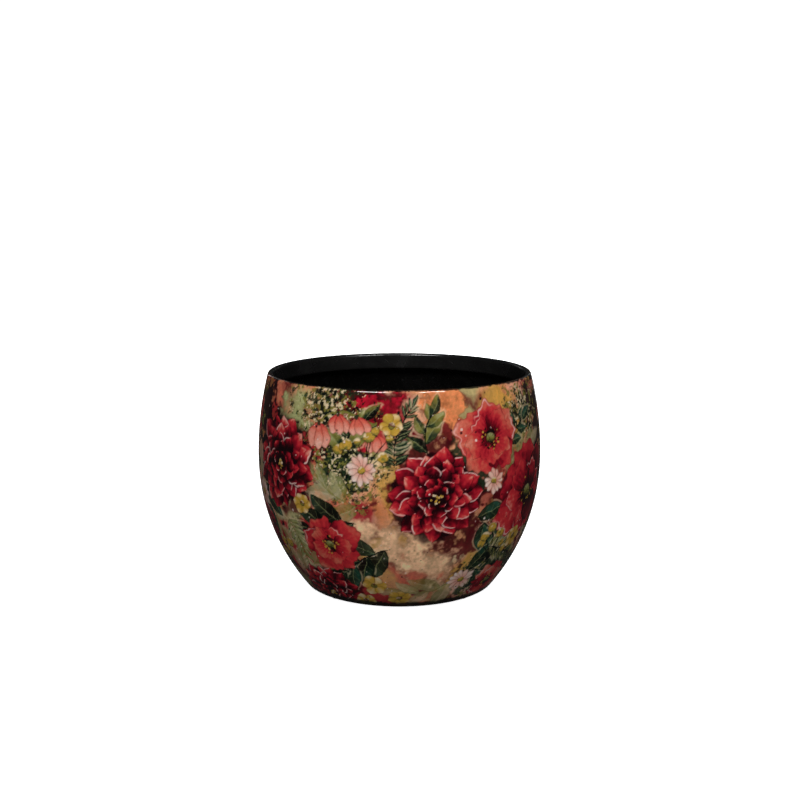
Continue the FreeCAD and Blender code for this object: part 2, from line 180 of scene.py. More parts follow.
class Paint(tuple, Enum):
    """Pigments of the print, as linear red, green and blue."""

    PLUM_BLACK = (0.030, 0.005, 0.010)
    MAROON = (0.140, 0.004, 0.012)
    CRIMSON = (0.400, 0.007, 0.022)
    RED = (0.62, 0.034, 0.040)
    CORAL = (0.70, 0.150, 0.095)
    SALMON = (0.80, 0.330, 0.245)
    BLUSH = (0.86, 0.54, 0.43)
    ORANGE = (0.68, 0.215, 0.078)
    PEACH = (0.80, 0.355, 0.175)
    CREAM = (0.84, 0.66, 0.40)
    SAND = (0.82, 0.50, 0.285)
    GOLD = (0.62, 0.36, 0.055)
    MUSTARD = (0.46, 0.29, 0.035)
    OLIVE = (0.20, 0.185, 0.035)
    SAGE = (0.36, 0.37, 0.155)
    TEAL = (0.020, 0.105, 0.065)
    BOTTLE = (0.018, 0.052, 0.024)
    PINE_BLACK = (0.008, 0.014, 0.010)
    CHALK = (0.90, 0.74, 0.66)


Rgba = tuple[float, float, float, float]
Tones = tuple[Paint, ...]
DARK_LEAF: Tones = (Paint.PINE_BLACK, Paint.BOTTLE, Paint.TEAL)
MIXED_LEAF: Tones = (Paint.PINE_BLACK, Paint.BOTTLE, Paint.OLIVE, Paint.SAGE)
PALE_LEAF: Tones = (Paint.OLIVE, Paint.SAGE, Paint.CREAM)
DEEP_RED: Tones = (Paint.PLUM_BLACK, Paint.MAROON, Paint.CRIMSON, Paint.RED, Paint.SALMON)
LIGHT_RED: Tones = (Paint.MAROON, Paint.CRIMSON, Paint.RED, Paint.CORAL, Paint.SALMON)
YELLOW: Tones = (Paint.MUSTARD, Paint.GOLD, Paint.CREAM)


@dataclass(frozen=True)
class WallSection:
    """The pot's section as arcs, in radius and level, with angles from the outward direction.

    The belly's radius, the crest's level and the metal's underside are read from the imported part.
    """

    belly_radius: float
    crest_level: float
    underside: float
    belly_level: float = 84.0 * MM
    lower_radius: float = 130.0 * MM
    upper_radius: float = 210.0 * MM
    coat: float = 0.15 * MM
    gap: float = 0.02 * MM
    sheet: float = 0.8 * MM
    foot_bend: float = 2.0 * MM
    flange: float = 12.0 * MM
    lip_radius: float = 1.7 * MM
    collar_depth: float = 10.5 * MM
    collar_lean: float = 0.6 * MM

    @property
    def skin(self) -> float:
        """From the printed surface to the metal."""
        return self.coat + self.gap

    @property
    def lower_centre(self) -> Array:
        """Centre of the side curve below the belly."""
        return np.array([self.belly_radius - self.lower_radius, self.belly_level])

    @property
    def upper_centre(self) -> Array:
        """Centre of the side curve above the belly."""
        return np.array([self.belly_radius - self.upper_radius, self.belly_level])

    @staticmethod
    def nest(centre: Array, reach: float, level: float) -> tuple[Array, float]:
        """The point at a level on a circle of radius reach, and its angle there."""
        angle = math.asin((level - centre[1]) / reach)
        return centre + np.array(polar(reach, angle)), angle

    @property
    def foot(self) -> tuple[Array, float]:
        """Centre of the bend at the wall's foot, and the angle where the side curve takes over."""
        return self.nest(self.lower_centre, self.lower_radius - self.skin - self.foot_bend,
                         self.underside + self.foot_bend)

    @property
    def lip(self) -> tuple[Array, float]:
        """Centre of the rolled lip, and the angle where the side curve ends."""
        return self.nest(self.upper_centre, self.upper_radius - self.skin - self.lip_radius,
                         self.crest_level - self.skin - self.lip_radius)

    @staticmethod
    def arc(centre: Array, radius: float, start: float, end: float, step: float) -> Array:
        """Points of an arc: centre + radius * (cos a, sin a), with both ends included.

        Args:
            centre: Its middle, as radius and level.
            radius: Its radius.
            start: Its first angle.
            end: Its last angle.
            step: About how far apart the points are.

        Returns:
            The points as radius and level.
        """
        count = max(2, int(round(abs(end - start) * radius / step)) + 1)
        angles = np.linspace(start, end, count)
        return centre + radius * np.stack([np.cos(angles), np.sin(angles)], axis=-1)

    def printed_face(self, step: float) -> Array:
        """The print's section, from under the foot to the crest of the lip.

        Both of its ends are rounded down to the metal by a half circle as wide as the coat.

        Args:
            step: Spacing of the points.

        Returns:
            Points as radius and level, from the foot upwards.
        """
        foot, foot_angle = self.foot
        lip, lip_angle = self.lip
        half = self.skin / 2
        hem = foot - np.array([0.0, self.foot_bend + half])
        edge = lip + np.array([0.0, self.lip_radius + half])
        return chain(
            self.arc(hem, half, -3 * QUARTER, -QUARTER, half / 2),
            self.arc(foot, self.foot_bend + self.skin, -QUARTER, foot_angle, step),
            self.arc(self.lower_centre, self.lower_radius, foot_angle, 0.0, step),
            self.arc(self.upper_centre, self.upper_radius, 0.0, lip_angle, step),
            self.arc(lip, self.lip_radius + self.skin, lip_angle, QUARTER, step),
            self.arc(edge, half, QUARTER, 3 * QUARTER, half / 2))


def chain(*runs: Array) -> Array:
    """Joins runs of points end to end, with each shared end kept once."""
    return np.concatenate([runs[0]] + [run[1:] for run in runs[1:]])


@dataclass(frozen=True)
class Handwork:
    """The slight waviness of a wall that was spun and planished: the same for every layer of it."""

    swell: float = 0.30 * MM
    swell_width: float = 75.0 * MM
    ripple: float = 0.035 * MM
    ripple_width: float = 14.0 * MM

    def inward(self, points: Array) -> Array:
        """How far places lie inside their true radius: two noises, each from 0 to its depth.

        Args:
            points: The places.

        Returns:
            One depth for each place.
        """
        swell = noise(points, self.swell_width, Seed.SWELL, 1)
        ripple = noise(points, self.ripple_width, Seed.RIPPLE, 2)
        return self.swell * swell + self.ripple * ripple


def revolve(outline: Array, columns: int, wave: Handwork | None = None) -> Array:
    """Turns an outline round the axis: (r cos a, r sin a, z) for every point and every angle.

    Args:
        outline: Points as radius and level.
        columns: How many angles in a full turn.
        wave: Waviness that moves each point towards the axis.

    Returns:
        A grid of places, rows along the outline and columns round the axis.
    """
    angles = np.arange(columns) * (FULL_TURN / columns)
    spokes = np.stack([np.cos(angles), np.sin(angles), np.zeros(columns)], axis=-1)
    points = outline[:, None, :1] * spokes[None]
    points[..., 2] += outline[:, None, 1]
    if wave is not None:
        points = points - wave.inward(points)[..., None] * spokes[None]
    return points


def grid_faces(rows: int, columns: int, closed: bool, looped: bool = False) -> Array:
    """Four corners of each cell of a grid of points, in the order that faces outwards.

    Args:
        rows: Points along the outline.
        columns: Points round the axis.
        closed: Whether the last column joins the first.
        looped: Whether the last row joins the first.

    Returns:
        One row of four point numbers for each face.
    """
    number = np.arange(rows * columns).reshape(rows, columns)
    if closed:
        number = np.concatenate([number, number[:, :1]], axis=1)
    if looped:
        number = np.concatenate([number, number[:1]], axis=0)
    corners = (number[:-1, :-1], number[:-1, 1:], number[1:, 1:], number[1:, :-1])
    return np.stack(corners, axis=-1).reshape(-1, 4)


def fan(ring: Array, centre: int) -> list[tuple[int, int, int]]:
    """Triangles that join a ring of point numbers to a centre point."""
    return [(int(one), int(other), centre) for one, other in zip(ring, np.roll(ring, -1))]


def grid_normals(points: Array) -> Array:
    """Unit normals of a closed grid: the cross product of its central steps round and along.

    Args:
        points: Places, rows along the outline and columns round the axis.

    Returns:
        A normal for each place.
    """
    around = np.roll(points, -1, axis=1) - np.roll(points, 1, axis=1)
    along = np.gradient(points, axis=0)
    normal = np.cross(around, along)
    return normal / np.maximum(np.linalg.norm(normal, axis=-1, keepdims=True), 1e-12)


def make_object(name: str, points: Array, faces: list[Sequence[int]]) -> bpy.types.Object:
    """A smooth-shaded mesh object at the origin, with its place in its points.

    Args:
        name: The piece's name.
        points: Places, with the three coordinates in the last axis.
        faces: Point numbers of each face.

    Returns:
        The object, in the scene.
    """
    mesh = bpy.data.meshes.new(name)
    mesh.from_pydata(points.reshape(-1, 3).tolist(), [], faces)
    mesh.polygons.foreach_set("use_smooth", np.ones(len(mesh.polygons), bool))
    mesh.update()
    piece = bpy.data.objects.new(name, mesh)
    bpy.context.scene.collection.objects.link(piece)
    return piece


def lathe(name: str, outline: Array, columns: int, wave: Handwork | None = None,
          poles: bool = False) -> bpy.types.Object:
    """A turned solid from an outline that runs counter-clockwise in radius and level.

    Args:
        name: The piece's name.
        outline: Points as radius and level; a loop, or a run from the axis to the axis.
        columns: How many angles in a full turn.
        wave: Waviness of the wall, if the piece has it.
        poles: Whether the outline starts and ends on the axis, where a fan of triangles closes it.

    Returns:
        The object.
    """
    if not poles:
        points = revolve(outline, columns, wave)
        return make_object(name, points, grid_faces(len(outline), columns, True, True).tolist())
    rings = revolve(outline[1:-1], columns, wave)
    ends = np.array([[0.0, 0.0, outline[0, 1]], [0.0, 0.0, outline[-1, 1]]])
    faces = grid_faces(len(outline) - 2, columns, True).tolist()
    first = np.arange(columns)
    last = first + columns * (len(outline) - 3)
    low = rings.size // 3
    faces += fan(first[::-1], low) + fan(last, low + 1)
    return make_object(name, np.concatenate([rings.reshape(-1, 3), ends]), faces)


@dataclass(frozen=True)
class Place:
    """A spot on the wall: its bearing from the camera's side, its level, and a turn in the wall."""

    bearing: float
    level: float
    turn: float = 0.0


def cover_with(colour: Array, cover: Array, paint: Array | Sequence[float]) -> None:
    """Lays paint over colours in place: old + (paint - old) * cover."""
    colour += (np.asarray(paint) - colour) * cover[..., None]


class Canvas:
    """The printed surface as a grid of points, with the paint on each of them.

    Its textures are noises: pools of pigment, its grain, the drift of flicked drops, and the
    wandering of the hand across and up. The widths are their largest forms.
    """

    pool_width = 8.0 * MM
    grain_width = 1.7 * MM
    drift_width = 22.0 * MM
    wander_width = 6.0 * MM
    wander_reach = 2.6 * MM
    widest_patch = 1.3

    def __init__(self, section: WallSection, columns: int, step: float, wave: Handwork) -> None:
        """Lays the grid and its shared textures.

        Args:
            section: The pot's section.
            columns: Points round the pot.
            step: Spacing of the points up the wall.
            wave: The wall's waviness.
        """
        self.outline = section.printed_face(step)
        self.columns = columns
        self.belly_radius = section.belly_radius
        self.points = revolve(self.outline, columns, wave)
        self.normals = grid_normals(self.points)
        steps = np.linalg.norm(np.diff(self.outline, axis=0), axis=1)
        self.run = np.concatenate([[0.0], np.cumsum(steps)])
        self.colour = np.zeros(self.points.shape)
        self.pool = noise(self.points, self.pool_width, Seed.POOL, 3) - 0.5
        self.grain = noise(self.points, self.grain_width, Seed.GRAIN, 2) - 0.5
        self.drift = noise(self.points, self.drift_width, Seed.DRIFT, 2)
        self.wander_u, self.wander_v = (
            (noise(self.points, self.wander_width, seed, 3) - 0.5) * self.wander_reach
            for seed in (Seed.WANDER_ACROSS, Seed.WANDER_UP))

    def patch(self, place: Place, reach: float, waver: float = 1.0) -> Patch:
        """The part of the grid around a place, with flat coordinates in the wall's tangent plane.

        It never reaches further round the pot than widest_patch, in radians, on either side.

        Args:
            place: The middle of the patch.
            reach: Half its width.
            waver: How much of the hand's wavering moves the coordinates.

        Returns:
            The patch, across to the right and up the wall, turned by the place's turn.
        """
        # The rows within reach up and down the wall, then the columns within reach round it.
        row = int(np.argmin(np.abs(self.outline[:, 1] - place.level)))
        rows = np.nonzero(np.abs(self.run - self.run[row]) < reach)[0]
        azimuth = math.radians(place.bearing) - QUARTER
        half = min(reach / self.outline[rows, 0].min(), self.widest_patch)
        count = int(half / FULL_TURN * self.columns)
        middle = int(round(azimuth / FULL_TURN * self.columns))
        columns = np.arange(middle - count, middle + count + 1) % self.columns
        # The tangent plane: side runs level round the pot, and up follows the wall's slope.
        rise = self.outline[min(row + 1, len(self.outline) - 1)] - self.outline[row - 1]
        rise = rise / np.linalg.norm(rise)
        spoke = np.array([math.cos(azimuth), math.sin(azimuth), 0.0])
        side = np.array([-spoke[1], spoke[0], 0.0])
        up = rise[0] * spoke + np.array([0.0, 0.0, rise[1]])
        centre = self.outline[row, 0] * spoke + np.array([0.0, 0.0, self.outline[row, 1]])
        index = np.ix_(rows, columns)
        # Each point's place in that plane, wavering as a hand does, then turned.
        away = self.points[index] - centre
        flat_u = away @ side + self.wander_u[index] * waver
        flat_v = away @ up + self.wander_v[index] * waver
        cos, sin = math.cos(math.radians(place.turn)), math.sin(math.radians(place.turn))
        return Patch(self, index, flat_u * cos + flat_v * sin, flat_v * cos - flat_u * sin)


@dataclass
class Patch:
    """A part of the canvas being painted, in flat coordinates.

    In a wash, the pool and the grain shift the tone by their shares, and the pigment gathers in a
    tide line of a certain width.
    """

    pool_share = 0.75
    grain_share = 0.22
    tide_width = 0.42 * MM

    canvas: Canvas
    index: tuple[Array, Array]
    across: Array
    up: Array
    colour: Array = field(init=False)
    pool: Array = field(init=False)
    grain: Array = field(init=False)

    def __post_init__(self) -> None:
        """Takes the colours and the textures that are there."""
        self.colour = self.canvas.colour[self.index]
        self.pool = self.canvas.pool[self.index]
        self.grain = self.canvas.grain[self.index]

    def distance(self, centre: Sequence[float] = (0.0, 0.0)) -> Array:
        """How far each point lies from a spot in the patch."""
        return np.hypot(self.across - centre[0], self.up - centre[1])

    def lay(self, cover: Array, paint: Array | Sequence[float]) -> None:
        """Lays paint over what is there."""
        cover_with(self.colour, cover, paint)

    def dab(self, centre: Sequence[float], radius: float, pigment: Paint) -> None:
        """A round dab with a soft edge, as stamens are painted."""
        self.lay(smooth(-self.distance(centre), -radius, -0.35 * MM) * 0.9, pigment)

    def wash(self, cover: Array, inside: Array, light: Array, tones: Tones,
             rim: Paint, rim_strength: float = 0.6) -> None:
        """Lays a watery shape: pooled pigment, then a darker tide line along its edge.

        Args:
            cover: How much the shape covers.
            inside: Distance inside its edge.
            light: From 0, the first tone, to 1, the last; pooling and grain shift it.
            tones: The shape's pigments from dark to light.
            rim: The tide line's pigment.
            rim_strength: How strong the tide line is.
        """
        light = light + self.pool_share * self.pool + self.grain_share * self.grain
        self.lay(cover, ramp(light.clip(0.0, 1.0), *tones))
        self.lay(near(inside, self.tide_width) * cover * rim_strength, rim)

    def dry(self) -> None:
        """Puts the patch's colours back on the canvas."""
        self.canvas.colour[self.index] = self.colour


@dataclass(frozen=True)
class Blade:
    """One petal or leaf in a patch: where it starts, where it points, and its outline.

    Half its width at a share t of its length is width / 2 * sin(pi * t ** belly) ** point.
    """

    base: tuple[float, float]
    heading: float
    length: float
    width: float
    belly: float = 1.0
    point: float = 0.8
    bend: float = 0.0
    soft: float = 0.35 * MM

    def axes(self, patch: Patch) -> tuple[Array, Array, Array, Array]:
        """Coordinates of the patch in the blade.

        Args:
            patch: What it is painted in.

        Returns:
            The share of the length, the signed share of the half-width, the distance inside the
            outline, and how much the blade covers.
        """
        # Shares of the length and of the half-width, with the middle line bowed by the bend.
        du, dv = patch.across - self.base[0], patch.up - self.base[1]
        cos, sin = math.cos(self.heading), math.sin(self.heading)
        along = (du * cos + dv * sin) / self.length
        aside = (dv * cos - du * sin) / (self.width / 2)
        aside = aside - self.bend * 4 * along * (1 - along)
        # The distance inside the outline, negative beside the blade and past its ends.
        held = np.clip(along, 0.0, 1.0)
        half = np.sin(math.pi * held ** self.belly).clip(0) ** self.point
        inside = (half - np.abs(aside)) * self.width / 2
        beyond = np.maximum(-along, along - 1.0).clip(0) * self.length
        inside = np.where(beyond > 0, np.minimum(inside, -beyond), inside)
        share = aside / np.maximum(half, 0.05)
        return held, share.clip(-1.2, 1.2), inside, covering(inside, self.soft)


class Motif:
    """Something painted on the canvas.

    Where a motif has one size, its patch reaches that size times margin, so that there is room
    for what is ragged or stands out.
    """

    margin = 1.3

    def paint(self, canvas: Canvas, rng: np.random.Generator) -> None:
        """Paints it.

        Args:
            canvas: What it is painted on.
            rng: Where its chances come from.
        """
        raise NotImplementedError


@dataclass(frozen=True)
class Ground(Motif):
    """The washes under everything: a warm ground with wet patches of other pigments run into it.

    Each wash is a pigment, the size of its patches, the noise level where it starts, how softly
    it starts, and its strength. The brush's slant is a matrix that squeezes space across the
    strokes, so that a noise read through it comes out streaky.
    """

    washes: tuple[tuple[Paint, float, float, float, float], ...] = (
        (Paint.ORANGE, 46.0 * MM, 0.40, 0.20, 0.95), (Paint.BLUSH, 38.0 * MM, 0.56, 0.18, 0.7),
        (Paint.GOLD, 26.0 * MM, 0.60, 0.16, 0.7), (Paint.CREAM, 34.0 * MM, 0.60, 0.16, 0.8),
        (Paint.CORAL, 30.0 * MM, 0.50, 0.14, 0.9), (Paint.SAGE, 34.0 * MM, 0.64, 0.10, 0.75),
        (Paint.OLIVE, 26.0 * MM, 0.65, 0.09, 0.75), (Paint.CRIMSON, 34.0 * MM, 0.54, 0.09, 0.92),
        (Paint.MAROON, 22.0 * MM, 0.60, 0.07, 0.85))
    swirl: float = 34.0 * MM
    swirl_width: float = 30.0 * MM
    brush_width: float = 10.0 * MM
    brush_slant: tuple[tuple[float, float, float], ...] = (
        (0.5, 0.3, 5.0), (-0.4, 0.5, 6.0), (0.35, -0.3, 1.1))

    def paint(self, canvas: Canvas, rng: np.random.Generator) -> None:
        """Lays each wash where its noise, read at swirled places, is above its level."""
        canvas.colour[:] = np.asarray(Paint.PEACH)
        turn = [noise(canvas.points, self.swirl_width, Seed.SWIRL + axis, 2) - 0.5
                for axis in range(3)]
        swirled = canvas.points + self.swirl * np.stack(turn, axis=-1)
        for number, (pigment, scale, level, soft, strength) in enumerate(self.washes):
            value = (noise(swirled, scale, Seed.WASH + number, 2) + 0.16 * canvas.pool
                     + 0.05 * canvas.grain)
            cover_with(canvas.colour, smooth(value, level, level + soft) * strength, pigment)
            tide = near(value - level - 0.25 * soft, 0.012) * (0.24 - soft)
            canvas.colour *= (1.0 - tide)[..., None]
        slant = canvas.points @ np.array(self.brush_slant)
        brush = noise(slant, self.brush_width, Seed.BRUSH, 3) - 0.5
        shade = 1.0 + 0.45 * brush + 0.8 * canvas.pool + 0.25 * canvas.grain
        canvas.colour *= shade[..., None].clip(0.25)


@dataclass(frozen=True)
class Cloud(Motif):
    """A wet patch of one pigment with a ragged edge and a darker tide line."""

    margin = 1.7

    place: Place
    radius: float
    pigment: Paint
    soft: float = 0.22
    strength: float = 0.93
    ragged: float = 1.5

    def paint(self, canvas: Canvas, rng: np.random.Generator) -> None:
        """Covers where 1 - distance / radius, roughened by the textures, is above a fifth."""
        patch = canvas.patch(self.place, self.radius * self.margin)
        away = patch.distance() / self.radius
        level = 1.0 - away + self.ragged * patch.pool + 0.35 * patch.grain
        cover = smooth(level, 0.20, 0.20 + self.soft) * self.strength
        tone = np.asarray(self.pigment) * (1.0 + 1.6 * patch.pool + 0.8 * patch.grain)[..., None]
        patch.lay(cover, tone.clip(0.002))
        tide = 0.077 / self.soft * near(level - 0.30, 0.06)
        patch.colour *= (1.0 - tide * self.strength)[..., None]
        patch.dry()


@dataclass(frozen=True)
class Sponge(Motif):
    """Pigment dabbed on with a sponge: dense speckle that thins out towards a ragged edge.

    The bare share is the noise level under which a pigment leaves the ground bare.
    """

    margin = 1.5

    place: Place
    radius: float
    pigments: Tones
    bare: float = 0.36

    def paint(self, canvas: Canvas, rng: np.random.Generator) -> None:
        """Lays each pigment where its own speckle noise is above a level that rises outwards."""
        patch = canvas.patch(self.place, self.radius * self.margin)
        away = patch.distance() / self.radius
        away = np.maximum(away + 1.2 * patch.pool, 0.0)
        for number, pigment in enumerate(self.pigments):
            speckle = noise(canvas.points[patch.index], (2.4 - 0.3 * number) * MM,
                            Seed.SPECKLE + number, 3)
            level = self.bare + 0.20 * away + 0.045 * number
            patch.lay(smooth(speckle, level, level + 0.06) * (away < 1.3) * 0.85, pigment)
        patch.dry()


@dataclass(frozen=True)
class Dahlia(Motif):
    """A double bloom: rings of pointed petals, largest outside, round a tight dark eye."""

    margin = 1.15

    place: Place
    radius: float
    rings: tuple[int, ...] = (15, 14, 12, 9, 7)
    tones: Tones = DEEP_RED
    stamens: int = 14
    petal_share: float = 0.64
    overlap: float = 1.45
    edged: float = 0.55

    def paint(self, canvas: Canvas, rng: np.random.Generator) -> None:
        """Paints the rings from the outside in, each petal from a dark base to a lit tip."""
        patch = canvas.patch(self.place, self.radius * self.margin)
        away = patch.distance() / self.radius
        patch.lay(smooth(-away + 0.5 * patch.pool, -0.98, -0.80) * 0.9, Paint.PLUM_BLACK)
        reach = np.linspace(1.0, 0.27, len(self.rings))
        for ring, (count, share) in enumerate(zip(self.rings, reach)):
            start = rng.uniform(0, FULL_TURN)
            for number in range(count):
                heading = start + (number + rng.uniform(-0.2, 0.2)) * FULL_TURN / count
                tip = self.radius * share * rng.uniform(0.88, 1.05)
                self.petal(patch, rng, heading, tip, count, ring)
        patch.lay(smooth(-away, -0.14, -0.07) * 0.9, Paint.PLUM_BLACK)
        for number in range(self.stamens):
            turn, out = rng.uniform(0, FULL_TURN), rng.uniform(0.02, 0.12) * self.radius
            patch.dab(polar(out, turn), 0.85 * MM, Paint.GOLD if number % 3 else Paint.CREAM)
        patch.dry()

    def petal(self, patch: Patch, rng: np.random.Generator, heading: float, tip: float,
              count: int, ring: int) -> None:
        """One petal, cupped along its middle; a share of them has a pale stroke inside the edge.

        Args:
            patch: Where the bloom is painted.
            rng: Where its chances come from.
            heading: Which way it points.
            tip: How far its tip is from the bloom's middle.
            count: How many petals its ring has.
            ring: The ring's number, from the outside.
        """
        length = tip * self.petal_share
        width = FULL_TURN * (tip - 0.4 * length) / count * self.overlap
        blade = Blade(polar(tip - length, heading), heading + rng.uniform(-0.08, 0.08), length,
                      width, belly=1.15, point=0.92, bend=rng.uniform(-0.2, 0.2))
        along, aside, inside, cover = blade.axes(patch)
        lit = rng.choice((-1.0, 1.0))
        streak = np.sin(aside * 8.0 + rng.uniform(0, 6) + 7.0 * patch.pool)
        light = 0.02 + 0.84 * along ** 1.5 + 0.07 * streak * along + 0.13 * lit * aside
        light += rng.uniform(-0.20, 0.16) - 0.16 * np.abs(aside) ** 3 - 0.02 * ring
        patch.wash(cover, inside, light, self.tones, Paint.PLUM_BLACK, 0.72)
        if rng.random() < self.edged:
            fade = smooth(along, 0.40, 0.62) * (1 - smooth(along, 0.90, 0.99))
            fade = fade * smooth(lit * aside, -0.15, 0.25) * cover * rng.uniform(0.45, 0.95)
            patch.lay(near(inside - 0.95 * MM, 0.38 * MM) * fade, Paint.CHALK)


@dataclass(frozen=True)
class Poppy(Motif):
    """A single bloom: a few broad ruffled petals, dark at the base, round a seed head."""

    place: Place
    radius: float
    petals: int = 5
    tones: Tones = LIGHT_RED
    rim: Paint = Paint.MAROON
    stamens: int = 40
    edged: float = 0.45

    def paint(self, canvas: Canvas, rng: np.random.Generator) -> None:
        """Paints the petals in turn, each overlapping the last, then the stamens and the head."""
        patch = canvas.patch(self.place, self.radius * self.margin)
        angle = np.arctan2(patch.up, patch.across)
        away = patch.distance() / self.radius
        start = rng.uniform(0, FULL_TURN)
        for layer, scale in enumerate((1.0, 0.72)):
            for number in rng.permutation(self.petals):
                turn = start + (number + 0.5 * layer) * FULL_TURN / self.petals
                self.petal(patch, rng, angle, away / scale, turn)
        turns = rng.uniform(0, FULL_TURN, self.stamens)
        for turn, out in zip(turns, rng.uniform(0.15, 0.30, self.stamens) * self.radius):
            tone = Paint.PINE_BLACK if rng.random() < 0.7 else Paint.GOLD
            patch.dab(polar(out, turn), 0.80 * MM, tone)
        head = smooth(-away, -0.15, -0.11)
        patch.lay(head, ramp(np.clip(0.5 + 4.0 * (patch.up / self.radius), 0, 1),
                             Paint.PINE_BLACK, Paint.OLIVE, Paint.SAGE))
        patch.lay(((np.cos(angle * 8) > 0.75) & (away < 0.12)) * 0.7, Paint.PINE_BLACK)
        patch.dry()

    def petal(self, patch: Patch, rng: np.random.Generator, angle: Array, away: Array,
              heading: float) -> None:
        """One petal: its edge is cos(offset) ** 0.35 of the radius, ruffled by waves.

        Args:
            patch: Where the bloom is painted.
            rng: Where its chances come from.
            angle: Each point's bearing from the bloom's middle.
            away: Its distance from there, as a share of the radius.
            heading: Which way the petal points.
        """
        offset = (angle - heading + math.pi) % FULL_TURN - math.pi
        spread = FULL_TURN / self.petals * 0.86
        ruffle = 0.045 * np.sin(offset * 9 + rng.uniform(0, 6)) + 0.025 * np.sin(offset * 21)
        edge = np.cos(np.clip(offset / spread, -1, 1) * QUARTER) ** 0.35 * rng.uniform(0.84, 1.02)
        inside = (edge + ruffle + 0.22 * patch.pool - away) * self.radius
        cover = covering(inside, 0.4 * MM) * (np.abs(offset) < spread)
        rays = np.sin(offset * 27 + 9.0 * patch.pool + rng.uniform(0, 6)) * (1 - away).clip(0)
        light = 0.06 + 0.66 * away ** 0.8 + 0.10 * rays
        light += rng.uniform(-0.20, 0.18) - 0.30 * np.abs(offset / spread) ** 2
        patch.wash(cover, inside, light, self.tones, self.rim, 0.7)
        stain = smooth(-away + 0.2 * patch.grain, -0.36, -0.10)
        patch.lay(stain * cover * 0.9, Paint.PLUM_BLACK)
        if rng.random() < self.edged:
            fade = smooth(rng.choice((-1, 1)) * offset / spread, -0.3, 0.1) * cover
            fade = fade * (1 - smooth(np.abs(offset / spread), 0.45, 0.75)) * rng.uniform(0.4, 0.9)
            patch.lay(near(inside - 1.3 * MM, 0.42 * MM) * fade, Paint.CHALK)


@dataclass(frozen=True)
class Daisy(Motif):
    """A small open flower with narrow petals and a round button."""

    place: Place
    radius: float
    petals: int = 11
    fullness: float = 0.44
    tones: Tones = (Paint.SALMON, Paint.BLUSH, Paint.CHALK)
    rim: Paint = Paint.MAROON
    button: Tones = (Paint.GOLD, Paint.MUSTARD)

    def paint(self, canvas: Canvas, rng: np.random.Generator) -> None:
        """Paints the petals round the button."""
        patch = canvas.patch(self.place, self.radius * self.margin, waver=0.6)
        for number in range(self.petals):
            heading = (number + rng.uniform(-0.2, 0.2)) * FULL_TURN / self.petals
            blade = Blade((0.0, 0.0), heading, self.radius * rng.uniform(0.85, 1.08),
                          self.radius * self.fullness, belly=1.5, point=0.6,
                          bend=rng.uniform(-0.3, 0.3))
            along, aside, inside, cover = blade.axes(patch)
            light = 0.15 + 0.8 * along - 0.25 * np.abs(aside) + rng.uniform(-0.2, 0.15)
            patch.wash(cover, inside, light, self.tones, self.rim)
        Buttons.dot(patch, (0.0, 0.0), self.radius * 0.26, self.button)
        patch.dry()


@dataclass(frozen=True)
class Buttons(Motif):
    """A loose branching stem that carries small round flower heads."""

    margin = 1.25

    place: Place
    height: float
    heads: int = 8
    head: float = 2.7 * MM
    tones: Tones = (Paint.GOLD, Paint.MUSTARD)

    def paint(self, canvas: Canvas, rng: np.random.Generator) -> None:
        """Paints stems that fan out from one foot, then a head at each tip."""
        patch = canvas.patch(self.place, self.height * self.margin, waver=0.7)
        tips = []
        for number in range(self.heads):
            lean = (number / max(1, self.heads - 1) - 0.5) * 1.7 + rng.uniform(-0.12, 0.12)
            rise = self.height * rng.uniform(0.5, 1.0)
            tips.append((rise * math.sin(lean), rise * math.cos(lean)))
            middle = (tips[-1][0] * 0.30, tips[-1][1] * 0.62)
            stroke(patch, bezier((0.0, 0.0), middle, tips[-1]), 0.34 * MM, Paint.PINE_BLACK, 0.85)
        for tip in tips:
            self.dot(patch, tip, self.head * rng.uniform(0.75, 1.25), self.tones)
        patch.dry()

    @staticmethod
    def dot(patch: Patch, centre: tuple[float, float], radius: float, tones: Tones) -> None:
        """A round head: lit from above, speckled, with a dark crescent below.

        Args:
            patch: What it is painted in.
            centre: Its middle.
            radius: Its size.
            tones: Its pigments between the dark and the light one.
        """
        dv = patch.up - centre[1]
        inside = radius - patch.distance(centre) + 0.9 * MM * patch.grain
        cover = covering(inside, 0.35 * MM)
        light = np.clip(0.45 + 0.40 * dv / radius + 1.6 * patch.grain, 0, 1)
        patch.lay(cover, ramp(light, Paint.OLIVE, *tones, Paint.CREAM))
        rim = near(inside, 0.45 * MM) * cover * (0.6 - 0.4 * dv / radius).clip(0, 1)
        patch.lay(rim, Paint.PLUM_BLACK)


